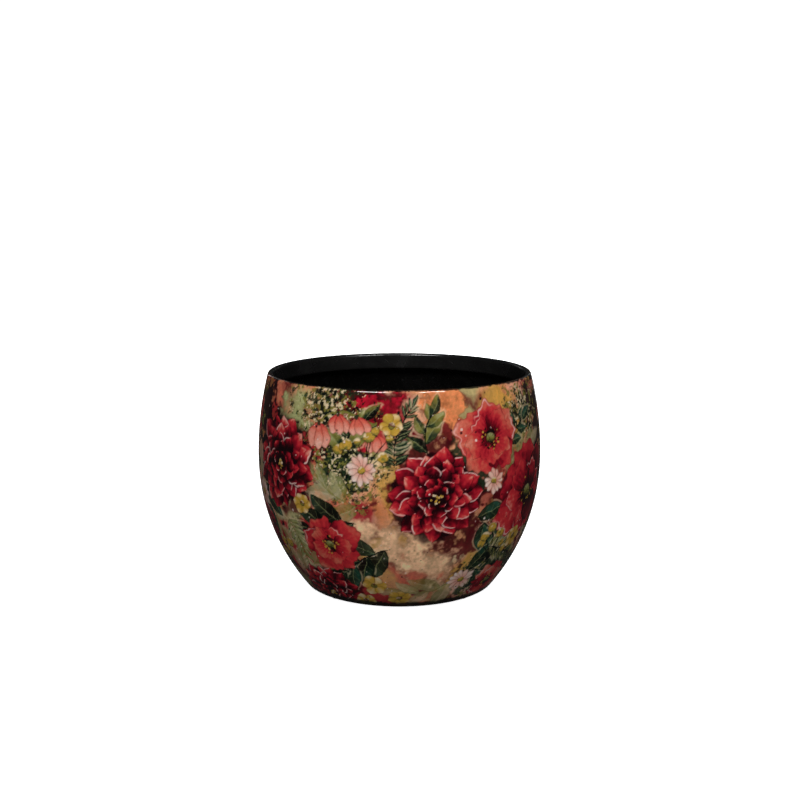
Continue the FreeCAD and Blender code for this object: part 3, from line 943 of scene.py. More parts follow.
@dataclass(frozen=True)
class Spray(Motif):
    """A bowed stem with leaves on both sides."""

    place: Place
    length: float
    leaves: int = 6
    leaf_length: float = 19.0 * MM
    leaf_width: float = 9.0 * MM
    bow: float = 0.22
    opening: float = 0.85
    tones: Tones = DARK_LEAF
    vein: Paint = Paint.SAGE
    strength: float = 0.95
    paired: bool = False

    def paint(self, canvas: Canvas, rng: np.random.Generator) -> None:
        """Paints the stem along a bowed line from the place, then leaves that shorten to the tip."""
        patch = canvas.patch(self.place, self.length + self.leaf_length * 0.8)
        line = bezier((0.0, 0.0), (self.length * 0.5, self.length * self.bow), (self.length, 0.0))
        last = len(line) - 1
        for number in range(self.leaves):
            share = (number + 0.6) / self.leaves
            at = line[int(share * last)]
            ahead = line[min(int(share * last) + 1, last)] - at
            course = math.atan2(ahead[1], ahead[0])
            for side in (1, -1) if self.paired else ((1, -1)[number % 2],):
                opening = self.opening * (1.0 - 0.35 * share) * rng.uniform(0.85, 1.15)
                size = (1.0 - 0.45 * share ** 2) * rng.uniform(0.85, 1.1)
                self.leaf(patch, rng, at, course + side * opening, size)
        self.leaf(patch, rng, line[-1], -self.bow, 0.75)
        stroke(patch, line, 0.42 * MM, self.tones[0], self.strength)
        patch.dry()

    def leaf(self, patch: Patch, rng: np.random.Generator, at: Array, heading: float,
             size: float) -> None:
        """One leaf: a pale halo, a darker and a lighter half, a midrib and slanting side veins.

        Args:
            patch: Where the spray is painted.
            rng: Where its chances come from.
            at: Where it leaves the stem.
            heading: Which way it points.
            size: Its size as a share of a full leaf.
        """
        blade = Blade(tuple(at), heading, self.leaf_length * size, self.leaf_width * size,
                      belly=0.85, point=0.85, bend=rng.uniform(-0.3, 0.3))
        along, aside, inside, cover = blade.axes(patch)
        halo = near(inside + 0.7 * MM, 0.5 * MM) * smooth(patch.pool, -0.06, 0.08)
        patch.lay(halo * 0.45 * self.strength, Paint.CREAM)
        light = 0.16 + 0.34 * along + 0.26 * smooth(aside, -0.1, 0.1) + rng.uniform(-0.2, 0.3)
        patch.wash(cover * self.strength, inside, light + 0.5 * patch.pool, self.tones,
                   Paint.PINE_BLACK, 0.4)
        rib = near(aside * blade.width / 2, 0.24 * MM) * cover * (along < 0.93)
        slant = np.sin((along * 5.0 - np.abs(aside) * 0.8) * FULL_TURN)
        veins = smooth(slant, 0.88, 1.0) * cover * (np.abs(aside) < 0.85)
        patch.lay((rib * 0.5 + veins * 0.16) * self.strength, self.vein)


@dataclass(frozen=True)
class Bells(Motif):
    """An arching stem hung with bell flowers."""

    place: Place
    length: float
    bells: int = 4
    size: float = 14.0 * MM
    tones: Tones = (Paint.RED, Paint.CORAL, Paint.SALMON, Paint.BLUSH)

    def paint(self, canvas: Canvas, rng: np.random.Generator) -> None:
        """Paints the arch, then bells that hang below it and shrink towards the tip."""
        patch = canvas.patch(self.place, self.length + self.size)
        line = bezier((0.0, 0.0), (self.length * 0.55, self.length * 0.75),
                      (self.length, self.length * 0.10))
        stroke(patch, line, 0.5 * MM, Paint.OLIVE, 0.95)
        for number in range(self.bells):
            share = 0.22 + 0.78 * number / max(1, self.bells - 1)
            at = line[int(share * (len(line) - 1))]
            size = self.size * (1.1 - 0.45 * share) * rng.uniform(0.9, 1.1)
            heading = -QUARTER + rng.uniform(-0.35, 0.35)
            for lobe in (-0.34, 0.34, 0.0):
                blade = Blade(tuple(at), heading + lobe, size, size * 0.46, belly=1.5, point=0.7,
                              bend=lobe * 0.9)
                along, aside, inside, cover = blade.axes(patch)
                light = 0.05 + 0.75 * along + rng.uniform(-0.12, 0.12) - 0.2 * aside ** 2
                patch.wash(cover, inside, light, self.tones, Paint.MAROON, 0.65)
            stroke(patch, np.stack([at, at + (0.0, -0.12 * size)]), 0.9 * MM, Paint.BOTTLE, 0.9)
        patch.dry()


@dataclass(frozen=True)
class LacquerAndShadeBand(Motif):
    """The black lacquer that shows where the print runs out at the lip, and painted shade at the
    foot, where the wall turns under.

    It is solid beyond one level and gone at the other; the textures make its edge ragged.
    """

    gone: float
    solid: float
    ragged: float
    strength: float = 0.9

    def paint(self, canvas: Canvas, rng: np.random.Generator) -> None:
        """Covers by how far each place lies from the first level towards the second."""
        level = canvas.points[..., 2] + self.ragged * (canvas.pool + canvas.grain)
        cover = smooth(level, self.gone, self.solid) * self.strength
        cover_with(canvas.colour, cover, Paint.PINE_BLACK)


@dataclass(frozen=True)
class Spatter(Motif):
    """Flicked drops of paint, one or none to a cell of a jittered net over the wall."""

    cell: float
    size: float
    share: float
    pigment: Paint
    seed: int

    def paint(self, canvas: Canvas, rng: np.random.Generator) -> None:
        """Lays a round drop at a random spot of each chosen cell, where the drift is thick.

        The net is unrolled: azimuth times the belly's radius, and the length of wall below.
        """
        around = int(FULL_TURN * canvas.belly_radius / self.cell)
        across = (np.arange(canvas.columns) / canvas.columns * around)[None]
        across = across + 0.5 * canvas.wander_u / self.cell
        up = canvas.run[:, None] / self.cell + 0.5 * canvas.wander_v / self.cell
        column, row = np.floor(across).astype(np.int64), np.floor(up).astype(np.int64)
        draw = [lattice(column % around, row, np.int64(k), self.seed) for k in range(4)]
        gap = np.hypot(across - column - 0.15 - 0.7 * draw[0], up - row - 0.15 - 0.7 * draw[1])
        inside = self.size * (0.4 + draw[2] ** 3) - gap * self.cell
        there = draw[3] < self.share * smooth(canvas.drift, 0.48, 0.62)
        cover_with(canvas.colour, covering(inside, 0.3 * MM) * there * 0.85, self.pigment)


def bezier(start: Sequence[float], middle: Sequence[float], end: Sequence[float],
           count: int = 28) -> Array:
    """Points of a curve: (1 - t)^2 start + 2 t (1 - t) middle + t^2 end.

    Args:
        start: Where the curve starts.
        middle: Where it is drawn to.
        end: Where it ends.
        count: How many points.

    Returns:
        The points, with t in even steps.
    """
    share = np.linspace(0.0, 1.0, count)[:, None]
    first, second, third = (np.asarray(point, float)[None] for point in (start, middle, end))
    return (1 - share) ** 2 * first + 2 * share * (1 - share) * second + share ** 2 * third


def stroke(patch: Patch, line: Array, width: float, pigment: Paint, strength: float) -> None:
    """Draws a line whose half-width is width * sin(pi t) ** 0.4, thinned where the ink ran dry.

    Args:
        patch: What it is drawn in.
        line: Its points.
        width: Half its width in the middle.
        pigment: Its paint.
        strength: How much it covers.
    """
    spots = np.stack([patch.across, patch.up], axis=-1).reshape(-1, 2)
    reach = np.full(len(spots), np.inf)
    for number, (one, other) in enumerate(zip(line[:-1], line[1:])):
        step = other - one
        share = np.clip(((spots - one) @ step) / max(float(step @ step), 1e-12), 0.0, 1.0)
        gap = np.linalg.norm(spots - one - share[:, None] * step, axis=1)
        taper = math.sin(math.pi * (number + 0.5) / (len(line) - 1)) ** 0.4
        reach = np.minimum(reach, gap / (width * taper))
    reach = reach.reshape(patch.across.shape) + 1.2 * patch.grain
    patch.lay(smooth(-reach, -1.5, -0.6) * strength, pigment)


def layout() -> list[Motif]:
    """The print's layout: bearing in degrees from the camera's side, level, turn and sizes in mm.

    Returns:
        Every motif, in the order in which it is painted.
    """
    def at(bearing: float, level: float, turn: float = 0.0) -> Place:
        """A place from a level in millimetres."""
        return Place(bearing, level * MM, turn)

    def leafy(bearing: float, level: float, turn: float, length: float, leaves: int,
              leaf_length: float, leaf_width: float, tones: Tones, bow: float = 0.2) -> Spray:
        """A spray from sizes in millimetres."""
        return Spray(at(bearing, level, turn), length * MM, leaves, leaf_length * MM,
                     leaf_width * MM, bow, tones=tones)

    stipple = (Paint.OLIVE, Paint.BOTTLE, Paint.PINE_BLACK, Paint.CREAM)
    clouds = [Cloud(at(b, z), r * MM, p) for b, z, r, p in (
        (16, 62, 46, Paint.MAROON), (-54, 92, 40, Paint.PLUM_BLACK), (30, 96, 26, Paint.BOTTLE),
        (58, 66, 42, Paint.MAROON), (-22, 98, 24, Paint.BOTTLE), (-78, 40, 30, Paint.PLUM_BLACK),
        (-6, 120, 24, Paint.CRIMSON), (16, 126, 18, Paint.ORANGE), (8, 100, 24, Paint.MAROON),
        (44, 22, 26, Paint.BOTTLE), (-34, 14, 24, Paint.MAROON), (76, 114, 32, Paint.PLUM_BLACK),
        (-70, 116, 26, Paint.PLUM_BLACK), (104, 98, 36, Paint.MAROON), (124, 50, 28, Paint.BOTTLE),
        (154, 72, 42, Paint.PLUM_BLACK), (186, 110, 22, Paint.BOTTLE), (204, 60, 40, Paint.MAROON),
        (240, 98, 38, Paint.PLUM_BLACK), (262, 50, 28, Paint.BOTTLE), (112, 14, 26, Paint.MAROON),
        (226, 12, 26, Paint.BOTTLE))]
    pools = [Cloud(at(b, z), r * MM, p, soft=0.6) for b, z, r, p in (
        (-2, 44, 30, Paint.SAND), (12, 34, 22, Paint.SAND), (-14, 54, 16, Paint.SAND),
        (-44, 124, 20, Paint.SAGE), (168, 30, 26, Paint.SAND), (252, 62, 24, Paint.SAND))]
    sponges = [Sponge(at(b, z), r * MM, stipple) for b, z, r in (
        (-28, 124, 24), (-20, 92, 20), (58, 120, 18), (44, 20, 18), (86, 40, 22), (130, 120, 22),
        (180, 34, 24), (214, 122, 24), (268, 116, 24), (232, 30, 20), (160, 118, 18))]
    ghosts = [Spray(at(b, z, t), l * MM, leaves=5, leaf_length=21 * MM, leaf_width=10 * MM, bow=0.2,
                    opening=0.8, tones=PALE_LEAF, vein=Paint.CREAM, strength=0.6)
              for b, z, t, l in (
        (-14, 70, 150, 34), (44, 84, 30, 32), (-64, 62, -70, 34), (26, 20, 200, 30),
        (-52, 20, 20, 30), (86, 74, 80, 34), (134, 78, -100, 34), (176, 92, 40, 34),
        (222, 84, -60, 34), (258, 76, 160, 34), (160, 18, 20, 32))]
    sprays = [leafy(*row) for row in (
        (30, 62, -52, 34, 6, 23, 11, DARK_LEAF, 0.22), (-16, 60, 200, 34, 6, 25, 12, DARK_LEAF, -0.2),
        (-22, 98, 60, 26, 5, 17, 8, MIXED_LEAF), (44, 96, 44, 28, 5, 16, 8, DARK_LEAF),
        (-66, 76, -112, 36, 6, 24, 12, DARK_LEAF, 0.25), (10, 100, 82, 24, 5, 17, 8, MIXED_LEAF),
        (-4, 44, -140, 34, 6, 25, 12, DARK_LEAF, -0.2), (30, 26, -24, 32, 6, 22, 10, DARK_LEAF),
        (84, 74, 50, 36, 6, 19, 9, MIXED_LEAF), (-94, 66, 80, 34, 6, 19, 9, MIXED_LEAF),
        (122, 84, -64, 36, 6, 20, 10, DARK_LEAF), (138, 98, 50, 28, 5, 18, 8, MIXED_LEAF),
        (172, 62, -36, 34, 6, 19, 9, DARK_LEAF), (176, 96, 130, 28, 5, 18, 8, DARK_LEAF),
        (222, 80, -90, 36, 6, 20, 10, DARK_LEAF), (256, 72, 40, 34, 6, 19, 9, MIXED_LEAF),
        (226, 50, 196, 30, 5, 18, 9, MIXED_LEAF), (264, 98, 110, 26, 5, 17, 8, DARK_LEAF),
        (140, 30, -20, 32, 6, 19, 9, DARK_LEAF), (84, 26, -160, 30, 5, 18, 9, DARK_LEAF),
        (208, 34, -60, 28, 5, 18, 9, MIXED_LEAF), (258, 22, 0, 30, 5, 18, 9, DARK_LEAF))]
    ferns = [Spray(at(b, z, t), l * MM, leaves=13, leaf_length=10 * MM, leaf_width=3 * MM, bow=0.18,
                   opening=1.05, tones=tones, paired=True)
             for b, z, t, l, tones in (
        (-2, 94, 74, 36, DARK_LEAF), (40, 40, -30, 34, MIXED_LEAF), (-50, 56, -80, 34, PALE_LEAF),
        (92, 106, -140, 34, DARK_LEAF), (160, 104, 60, 32, MIXED_LEAF), (266, 96, -70, 36, DARK_LEAF),
        (206, 98, 70, 34, PALE_LEAF), (176, 20, 30, 34, DARK_LEAF))]
    bells = [Bells(at(b, z, t), l * MM, size=s * MM) for b, z, t, l, s in (
        (-38, 108, 0, 44, 15), (76, 112, 0, 40, 15), (126, 62, 180, 38, 14),
        (188, 108, 0, 38, 14), (236, 36, 0, 38, 14), (-110, 50, 0, 38, 14))]
    poppies = [Poppy(at(b, z), r * MM) for b, z, r in (
        (37, 108, 24), (-29, 44, 21), (-84, 112, 19), (98, 52, 22), (50, 14, 17), (132, 112, 21),
        (182, 34, 21), (222, 112, 23), (262, 44, 22), (126, 12, 17))]
    blooms = [Poppy(at(b, z), r * MM, petals=6, tones=DEEP_RED, rim=Paint.PLUM_BLACK) for b, z, r in (
        (60, 70, 32), (-78, 40, 25), (152, 72, 32), (238, 90, 28), (206, 12, 22))]
    dahlias = [Dahlia(at(b, z), r * MM) for b, z, r in (
        (14, 76, 29), (-52, 90, 30), (-38, 8, 23), (106, 98, 27), (198, 74, 35), (-92, 88, 24),
        (86, 10, 22), (160, 10, 20))]
    buttons = [Buttons(at(b, z, t), h * MM, n) for b, z, t, h, n in (
        (-12, 90, 8, 26, 8), (42, 30, -16, 24, 8), (88, 84, 0, 26, 9), (-62, 18, 20, 24, 8),
        (172, 92, 0, 26, 9), (222, 20, 0, 26, 9), (116, 26, 0, 24, 8), (264, 84, 0, 24, 8))]
    daisies = [Daisy(at(b, z), r * MM) for b, z, r in (
        (-14, 92, 9), (38, 82, 8), (30, 20, 9), (112, 68, 10), (122, 58, 8), (172, 104, 10),
        (180, 112, 8), (220, 44, 9), (252, 112, 10), (-70, 66, 9))]
    yellows = [Daisy(at(b, z, t), r * MM, petals=6, fullness=0.85, tones=YELLOW,
                     button=(Paint.OLIVE, Paint.MAROON))
               for b, z, t, r in (
        (-12, 18, 0, 8), (0, 9, 20, 7), (-3, 118, 0, 7), (56, 42, 0, 7.5), (-40, 68, 0, 7),
        (-18, 6, 0, 6.5), (98, 24, 0, 8), (140, 40, 0, 8), (132, 34, 0, 6.5), (180, 66, 0, 7.5),
        (222, 60, 0, 8), (230, 66, 0, 6.5), (246, 16, 0, 8), (150, 118, 0, 7), (254, 8, 0, 7))]
    spatter = [
        Spatter(cell=7.0 * MM, size=0.55 * MM, share=0.30, pigment=Paint.CHALK, seed=8),
        Spatter(cell=6.5 * MM, size=0.65 * MM, share=0.45, pigment=Paint.PLUM_BLACK, seed=9)]
    # The first band is painted shade along the foot, where the wall turns under; the second is the
    # black lacquer at the lip.
    bands = [LacquerAndShadeBand(gone=6.6 * MM, solid=4.0 * MM, ragged=2.0 * MM),
             LacquerAndShadeBand(gone=136.75 * MM, solid=137.2 * MM, ragged=1.1 * MM)]
    return [Ground(), *clouds, *pools, *sponges, *ghosts, *sprays, *ferns, *bells, *poppies, *blooms,
            *dahlias, *buttons, *daisies, *yellows, *spatter, *bands]


class Graph:
    """Short ways to fill a node tree."""

    def __init__(self, tree: bpy.types.NodeTree) -> None:
        """Works on one tree."""
        self.tree = tree

    def add(self, kind: str, settings: dict[str, object] | None = None,
            **inputs: object) -> bpy.types.Node:
        """Adds a node, sets its properties, and fills its sockets with numbers or links.

        Args:
            kind: Blender's name for the node, without the ShaderNode at its front.
            settings: Properties of the node.
            inputs: Values or output sockets, by socket name with _ for a space.

        Returns:
            The node.
        """
        node = self.tree.nodes.new(kind if kind.startswith("Node") else "ShaderNode" + kind)
        for name, value in (settings or {}).items():
            setattr(node, name, value)
        self.set(node, **inputs)
        return node

    def set(self, node: bpy.types.Node, **inputs: object) -> None:
        """Fills a node's sockets, named with _ for a space, with numbers or links."""
        for name, value in inputs.items():
            self.fill(node.inputs[name.replace("_", " ")], value)

    def fill(self, socket: bpy.types.NodeSocket, value: object) -> None:
        """Links a socket of another node to an input, or writes a plain value into it.

        Args:
            socket: The input.
            value: An output socket, a number or a colour.
        """
        if isinstance(value, bpy.types.NodeSocket):
            self.tree.links.new(value, socket)
        else:
            socket.default_value = value

    def mix(self, share: object, first: object, second: object,
            blend: str = "MIX") -> bpy.types.NodeSocket:
        """Mixes two colours.

        Args:
            share: How much of the second.
            first: The first colour.
            second: The second colour.
            blend: How they meet, as the Mix node calls it.

        Returns:
            The result's socket.
        """
        node = self.add("Mix", {"data_type": "RGBA", "blend_type": blend})
        # The node has a set of sockets for each kind of data; its colours are 6 and 7, out at 2.
        for number, value in ((0, share), (6, first), (7, second)):
            self.fill(node.inputs[number], value)
        return node.outputs[2]

    def span(self, value: object, low: float, high: float, start: float,
             end: float) -> bpy.types.NodeSocket:
        """Maps a value from one range to another and holds it there.

        Args:
            value: What is mapped.
            low: Its lowest value.
            high: Its highest value.
            start: What the lowest becomes.
            end: What the highest becomes.

        Returns:
            The result's socket.
        """
        node = self.add("MapRange", None, Value=value, From_Min=low, From_Max=high, To_Min=start,
                        To_Max=end)
        return node.outputs["Result"]

    def maths(self, operation: str, first: object, second: object) -> bpy.types.NodeSocket:
        """Joins two values.

        Args:
            operation: How, as the Math node calls it.
            first: The first value.
            second: The second value.

        Returns:
            The result's socket.
        """
        node = self.add("Math", {"operation": operation})
        self.fill(node.inputs[0], first)
        self.fill(node.inputs[1], second)
        return node.outputs[0]

    def noise(self, place: bpy.types.NodeSocket, scale: float, detail: float, rough: float = 0.5,
              distortion: float = 0.0) -> bpy.types.NodeSocket:
        """The value of a noise texture.

        Args:
            place: Where it is read.
            scale: How fine it is.
            detail: How many finer layers it has.
            rough: How strong these are.
            distortion: How much it is swirled.

        Returns:
            The value's socket.
        """
        return self.add("TexNoise", None, Vector=place, Scale=scale, Detail=detail, Roughness=rough,
                        Distortion=distortion).outputs["Fac"]

    def bump(self, shader: bpy.types.Node, height: bpy.types.NodeSocket, strength: float,
             depth: float) -> None:
        """Bends a shader's normal by a height.

        Args:
            shader: The shader.
            height: The height's socket.
            strength: The share of the bend that is used.
            depth: How deep a height of 1 is.
        """
        node = self.add("Bump", None, Strength=strength, Distance=depth, Height=height)
        self.fill(shader.inputs["Normal"], node.outputs["Normal"])


def lacquer_group() -> bpy.types.NodeTree:
    """The skin of a sprayed and baked lacquer: a faint orange peel, handling smears and dust.

    Returns:
        A group with Vector, Peel, Smear and Dust in, and Height, Roughness and Dust out.
    """
    tree = bpy.data.node_groups.new("LacquerSkin", "ShaderNodeTree")
    make = tree.interface.new_socket
    make("Vector", in_out="INPUT", socket_type="NodeSocketVector")
    for name in ("Peel", "Smear", "Dust"):
        make(name, in_out="INPUT", socket_type="NodeSocketFloat")
    for name in ("Height", "Roughness", "Dust"):
        make(name, in_out="OUTPUT", socket_type="NodeSocketFloat")
    graph = Graph(tree)
    given = graph.add("NodeGroupInput").outputs
    place = given["Vector"]
    wave = graph.maths("MULTIPLY_ADD", graph.noise(place, scale=45.0, detail=1.0), 1.6)
    graph.fill(wave.node.inputs[2], graph.noise(place, scale=260.0, detail=2.0))
    smears = graph.span(graph.noise(place, scale=38.0, detail=5.0, rough=0.62, distortion=0.8),
                        0.42, 0.68, 0.0, 1.0)
    specks = graph.span(graph.noise(place, scale=1900.0, detail=1.0), 0.66, 0.74, 0.0, 1.0)
    out = graph.add("NodeGroupOutput")
    graph.fill(out.inputs["Height"], graph.maths("MULTIPLY", wave, given["Peel"]))
    graph.fill(out.inputs["Roughness"], graph.maths("MULTIPLY", smears, given["Smear"]))
    graph.fill(out.inputs["Dust"], graph.maths("MULTIPLY", specks, given["Dust"]))
    return tree


@dataclass(frozen=True)
class Finish:
    """A surface finish; each kind builds its own material."""

    name: str

    def build(self) -> bpy.types.Material:
        """Makes the material.

        Returns:
            The material.
        """
        material = bpy.data.materials.new(self.name)
        material.use_nodes = True
        material.node_tree.nodes.clear()
        graph = Graph(material.node_tree)
        shader = graph.add("BsdfPrincipled")
        output = graph.add("OutputMaterial", None, Surface=shader.outputs["BSDF"])
        output.is_active_output = True
        place = graph.add("TexCoord").outputs["Object"]
        self.dress(graph, shader, place)
        return material

    def dress(self, graph: Graph, shader: bpy.types.Node, place: bpy.types.NodeSocket) -> None:
        """Fills the shader's sockets.

        Args:
            graph: The material's nodes.
            shader: Its shader.
            place: Object coordinates.
        """
        raise NotImplementedError


@dataclass(frozen=True)
class PrintedLacquer(Finish):
    """Print under clear lacquer: the painted attribute, pigment grain, and a glossy skin."""

    skin: bpy.types.NodeTree
    gloss: float = 0.32
    dust: Rgba = (0.55, 0.5, 0.45, 1.0)
    key_plate: tuple[float, float, float, float] = (0.018, 0.115, 0.30, 1.05)

    def dress(self, graph: Graph, shader: bpy.types.Node, place: bpy.types.NodeSocket) -> None:
        """Base colour from the attribute, deepened by black ink and times grain; bump from the skin.

        The black ink (key_plate: darkest and lightest value that get it, gain at each) lies under
        the dark paints only, as the fourth plate of a printed picture does.
        """
        paint = graph.add("Attribute", {"attribute_name": "Paint"}).outputs["Color"]
        light = graph.add("RGBToBW", None, Color=paint).outputs["Val"]
        grain = graph.span(graph.noise(place, scale=2600.0, detail=3.0, rough=0.6),
                           0.25, 0.75, 0.86, 1.14)
        mottle = graph.span(graph.noise(place, scale=620.0, detail=4.0, rough=0.6),
                            0.3, 0.7, 0.91, 1.09)
        tint = paint
        for shade in (graph.span(light, *self.key_plate), grain, mottle):
            tint = graph.mix(1.0, tint, shade, "MULTIPLY")
        lacquer = graph.add("Group", {"node_tree": self.skin}, Vector=place, Peel=1.0, Smear=0.05,
                            Dust=0.03).outputs
        graph.bump(shader, lacquer["Height"], strength=0.10, depth=0.03 * MM)
        graph.set(shader, Base_Color=graph.mix(lacquer["Dust"], tint, self.dust),
                  Roughness=graph.maths("ADD", lacquer["Roughness"], self.gloss),
                  Specular_IOR_Level=0.0, Coat_Weight=1.0, Coat_Roughness=0.05, Coat_IOR=1.5)


@dataclass(frozen=True)
class BlackLacquer(Finish):
    """Black baked lacquer on steel: nearly black, semi-gloss, with painted light greying the lip and
    collar.
    """

    skin: bpy.types.NodeTree
    rim_level: float
    rim_fade: float = 0.4 * MM
    gloss: float = 0.19
    deep: Rgba = (0.001, 0.001, 0.0012, 1.0)
    warm: Rgba = (0.004, 0.0038, 0.0035, 1.0)
    scuff: Rgba = (0.05, 0.049, 0.047, 1.0)
    dust: Rgba = (0.16, 0.155, 0.145, 1.0)
    lit_rim_deep: Rgba = (0.004, 0.004, 0.0042, 1.0)
    lit_rim_warm: Rgba = (0.013, 0.0125, 0.012, 1.0)

    def dress(self, graph: Graph, shader: bpy.types.Node, place: bpy.types.NodeSocket) -> None:
        """A dark tone that noise warms and lifts a little, scuffs that lighten it, the skin, and
        painted light: greyer above rim_level.
        """
        tone = graph.noise(place, scale=70.0, detail=5.0, rough=0.6)
        base = graph.mix(tone, self.deep, self.warm)
        drawn = graph.add("Mapping", None, Vector=place, Scale=(1.0, 1.0, 7.0)).outputs["Vector"]
        scuffs = graph.span(graph.noise(drawn, scale=240.0, detail=6.0, rough=0.72),
                            0.70, 0.80, 0.0, 0.35)
        lacquer = graph.add("Group", {"node_tree": self.skin}, Vector=place, Peel=1.0, Smear=0.16,
                            Dust=0.16).outputs
        base = graph.mix(scuffs, base, self.scuff)
        base = graph.mix(lacquer["Dust"], base, self.dust)
        # Painted light: from the collar's lower edge up, a greyer tone stands in for light on the
        # collar, and the deeper tone below stands in for shade on the wall.
        level = graph.add("SeparateXYZ", None, Vector=place).outputs["Z"]
        painted_light_band = graph.span(level, self.rim_level - self.rim_fade, self.rim_level + self.rim_fade,
                            0.0, 1.0)
        rim = graph.mix(tone, self.lit_rim_deep, self.lit_rim_warm)
        graph.bump(shader, lacquer["Height"], strength=0.35, depth=0.05 * MM)
        graph.set(shader, Base_Color=graph.mix(painted_light_band, base, rim),
                  Roughness=graph.maths("ADD", lacquer["Roughness"], self.gloss))


@dataclass(frozen=True)
class ZincWire(Finish):
    """Dull zinc plating with drawing marks."""

    dull: Rgba = (0.38, 0.39, 0.40, 1.0)
    bright: Rgba = (0.62, 0.63, 0.64, 1.0)

    def dress(self, graph: Graph, shader: bpy.types.Node, place: bpy.types.NodeSocket) -> None:
        """Grey metal whose tone and roughness follow two noises."""
        spangle = graph.noise(place, scale=900.0, detail=3.0)
        graph.bump(shader, spangle, strength=0.3, depth=0.02 * MM)
        graph.set(shader, Metallic=1.0, Roughness=graph.span(spangle, 0.3, 0.7, 0.32, 0.55),
                  Base_Color=graph.mix(spangle, self.dull, self.bright))


@dataclass(frozen=True)
class Sealant(Finish):
    """Black silicone, satin, smoothed by a finger."""

    deep: Rgba = (0.012, 0.012, 0.013, 1.0)
    pale: Rgba = (0.035, 0.035, 0.036, 1.0)

    def dress(self, graph: Graph, shader: bpy.types.Node, place: bpy.types.NodeSocket) -> None:
        """Dark grey with tool marks in the bump and shine that comes and goes."""
        marks = graph.noise(place, scale=420.0, detail=4.0, rough=0.6)
        graph.bump(shader, marks, strength=0.5, depth=0.1 * MM)
        graph.set(shader, Roughness=graph.span(marks, 0.3, 0.7, 0.35, 0.6),
                  Base_Color=graph.mix(marks, self.deep, self.pale))


@dataclass(frozen=True)
class Felt(Finish):
    """Needled black felt: matted fibres with pale lint."""

    deep: Rgba = (0.010, 0.010, 0.011, 1.0)
    worn: Rgba = (0.060, 0.058, 0.057, 1.0)
    lint: Rgba = (0.25, 0.24, 0.23, 1.0)

    def dress(self, graph: Graph, shader: bpy.types.Node, place: bpy.types.NodeSocket) -> None:
        """A matted fibre noise in tone and bump, and sparse lint."""
        fibre = graph.noise(place, scale=2200.0, detail=5.0, rough=0.7, distortion=1.5)
        tone = graph.mix(fibre, self.deep, self.worn)
        flecks = graph.span(graph.noise(place, scale=1500.0, detail=2.0, distortion=3.0),
                            0.66, 0.72, 0.0, 0.5)
        graph.bump(shader, fibre, strength=0.9, depth=0.2 * MM)
        graph.set(shader, Base_Color=graph.mix(flecks, tone, self.lint),
                  Roughness=graph.span(fibre, 0.3, 0.7, 0.85, 1.0), Sheen_Weight=0.4)


@dataclass(frozen=True)
class StudioPaper(Finish):
    """Pale seamless backdrop paper, lit evenly from behind as a light table is."""

    glow: float = 0.96
    white: Rgba = (1.0, 1.0, 1.0, 1.0)
    pale: Rgba = (0.90, 0.90, 0.90, 1.0)
    grey: Rgba = (0.86, 0.86, 0.86, 1.0)

    def dress(self, graph: Graph, shader: bpy.types.Node, place: bpy.types.NodeSocket) -> None:
        """Almost white with a trace of mottling, and clear from its under and rear side."""
        cloud = graph.noise(place, scale=6.0, detail=3.0)
        side = graph.add("NewGeometry").outputs["Backfacing"]
        graph.set(shader, Roughness=graph.span(cloud, 0.3, 0.7, 0.85, 0.95),
                  Base_Color=graph.mix(cloud, self.grey, self.pale),
                  Emission_Color=self.white, Emission_Strength=self.glow,
                  Alpha=graph.maths("SUBTRACT", 1.0, side))


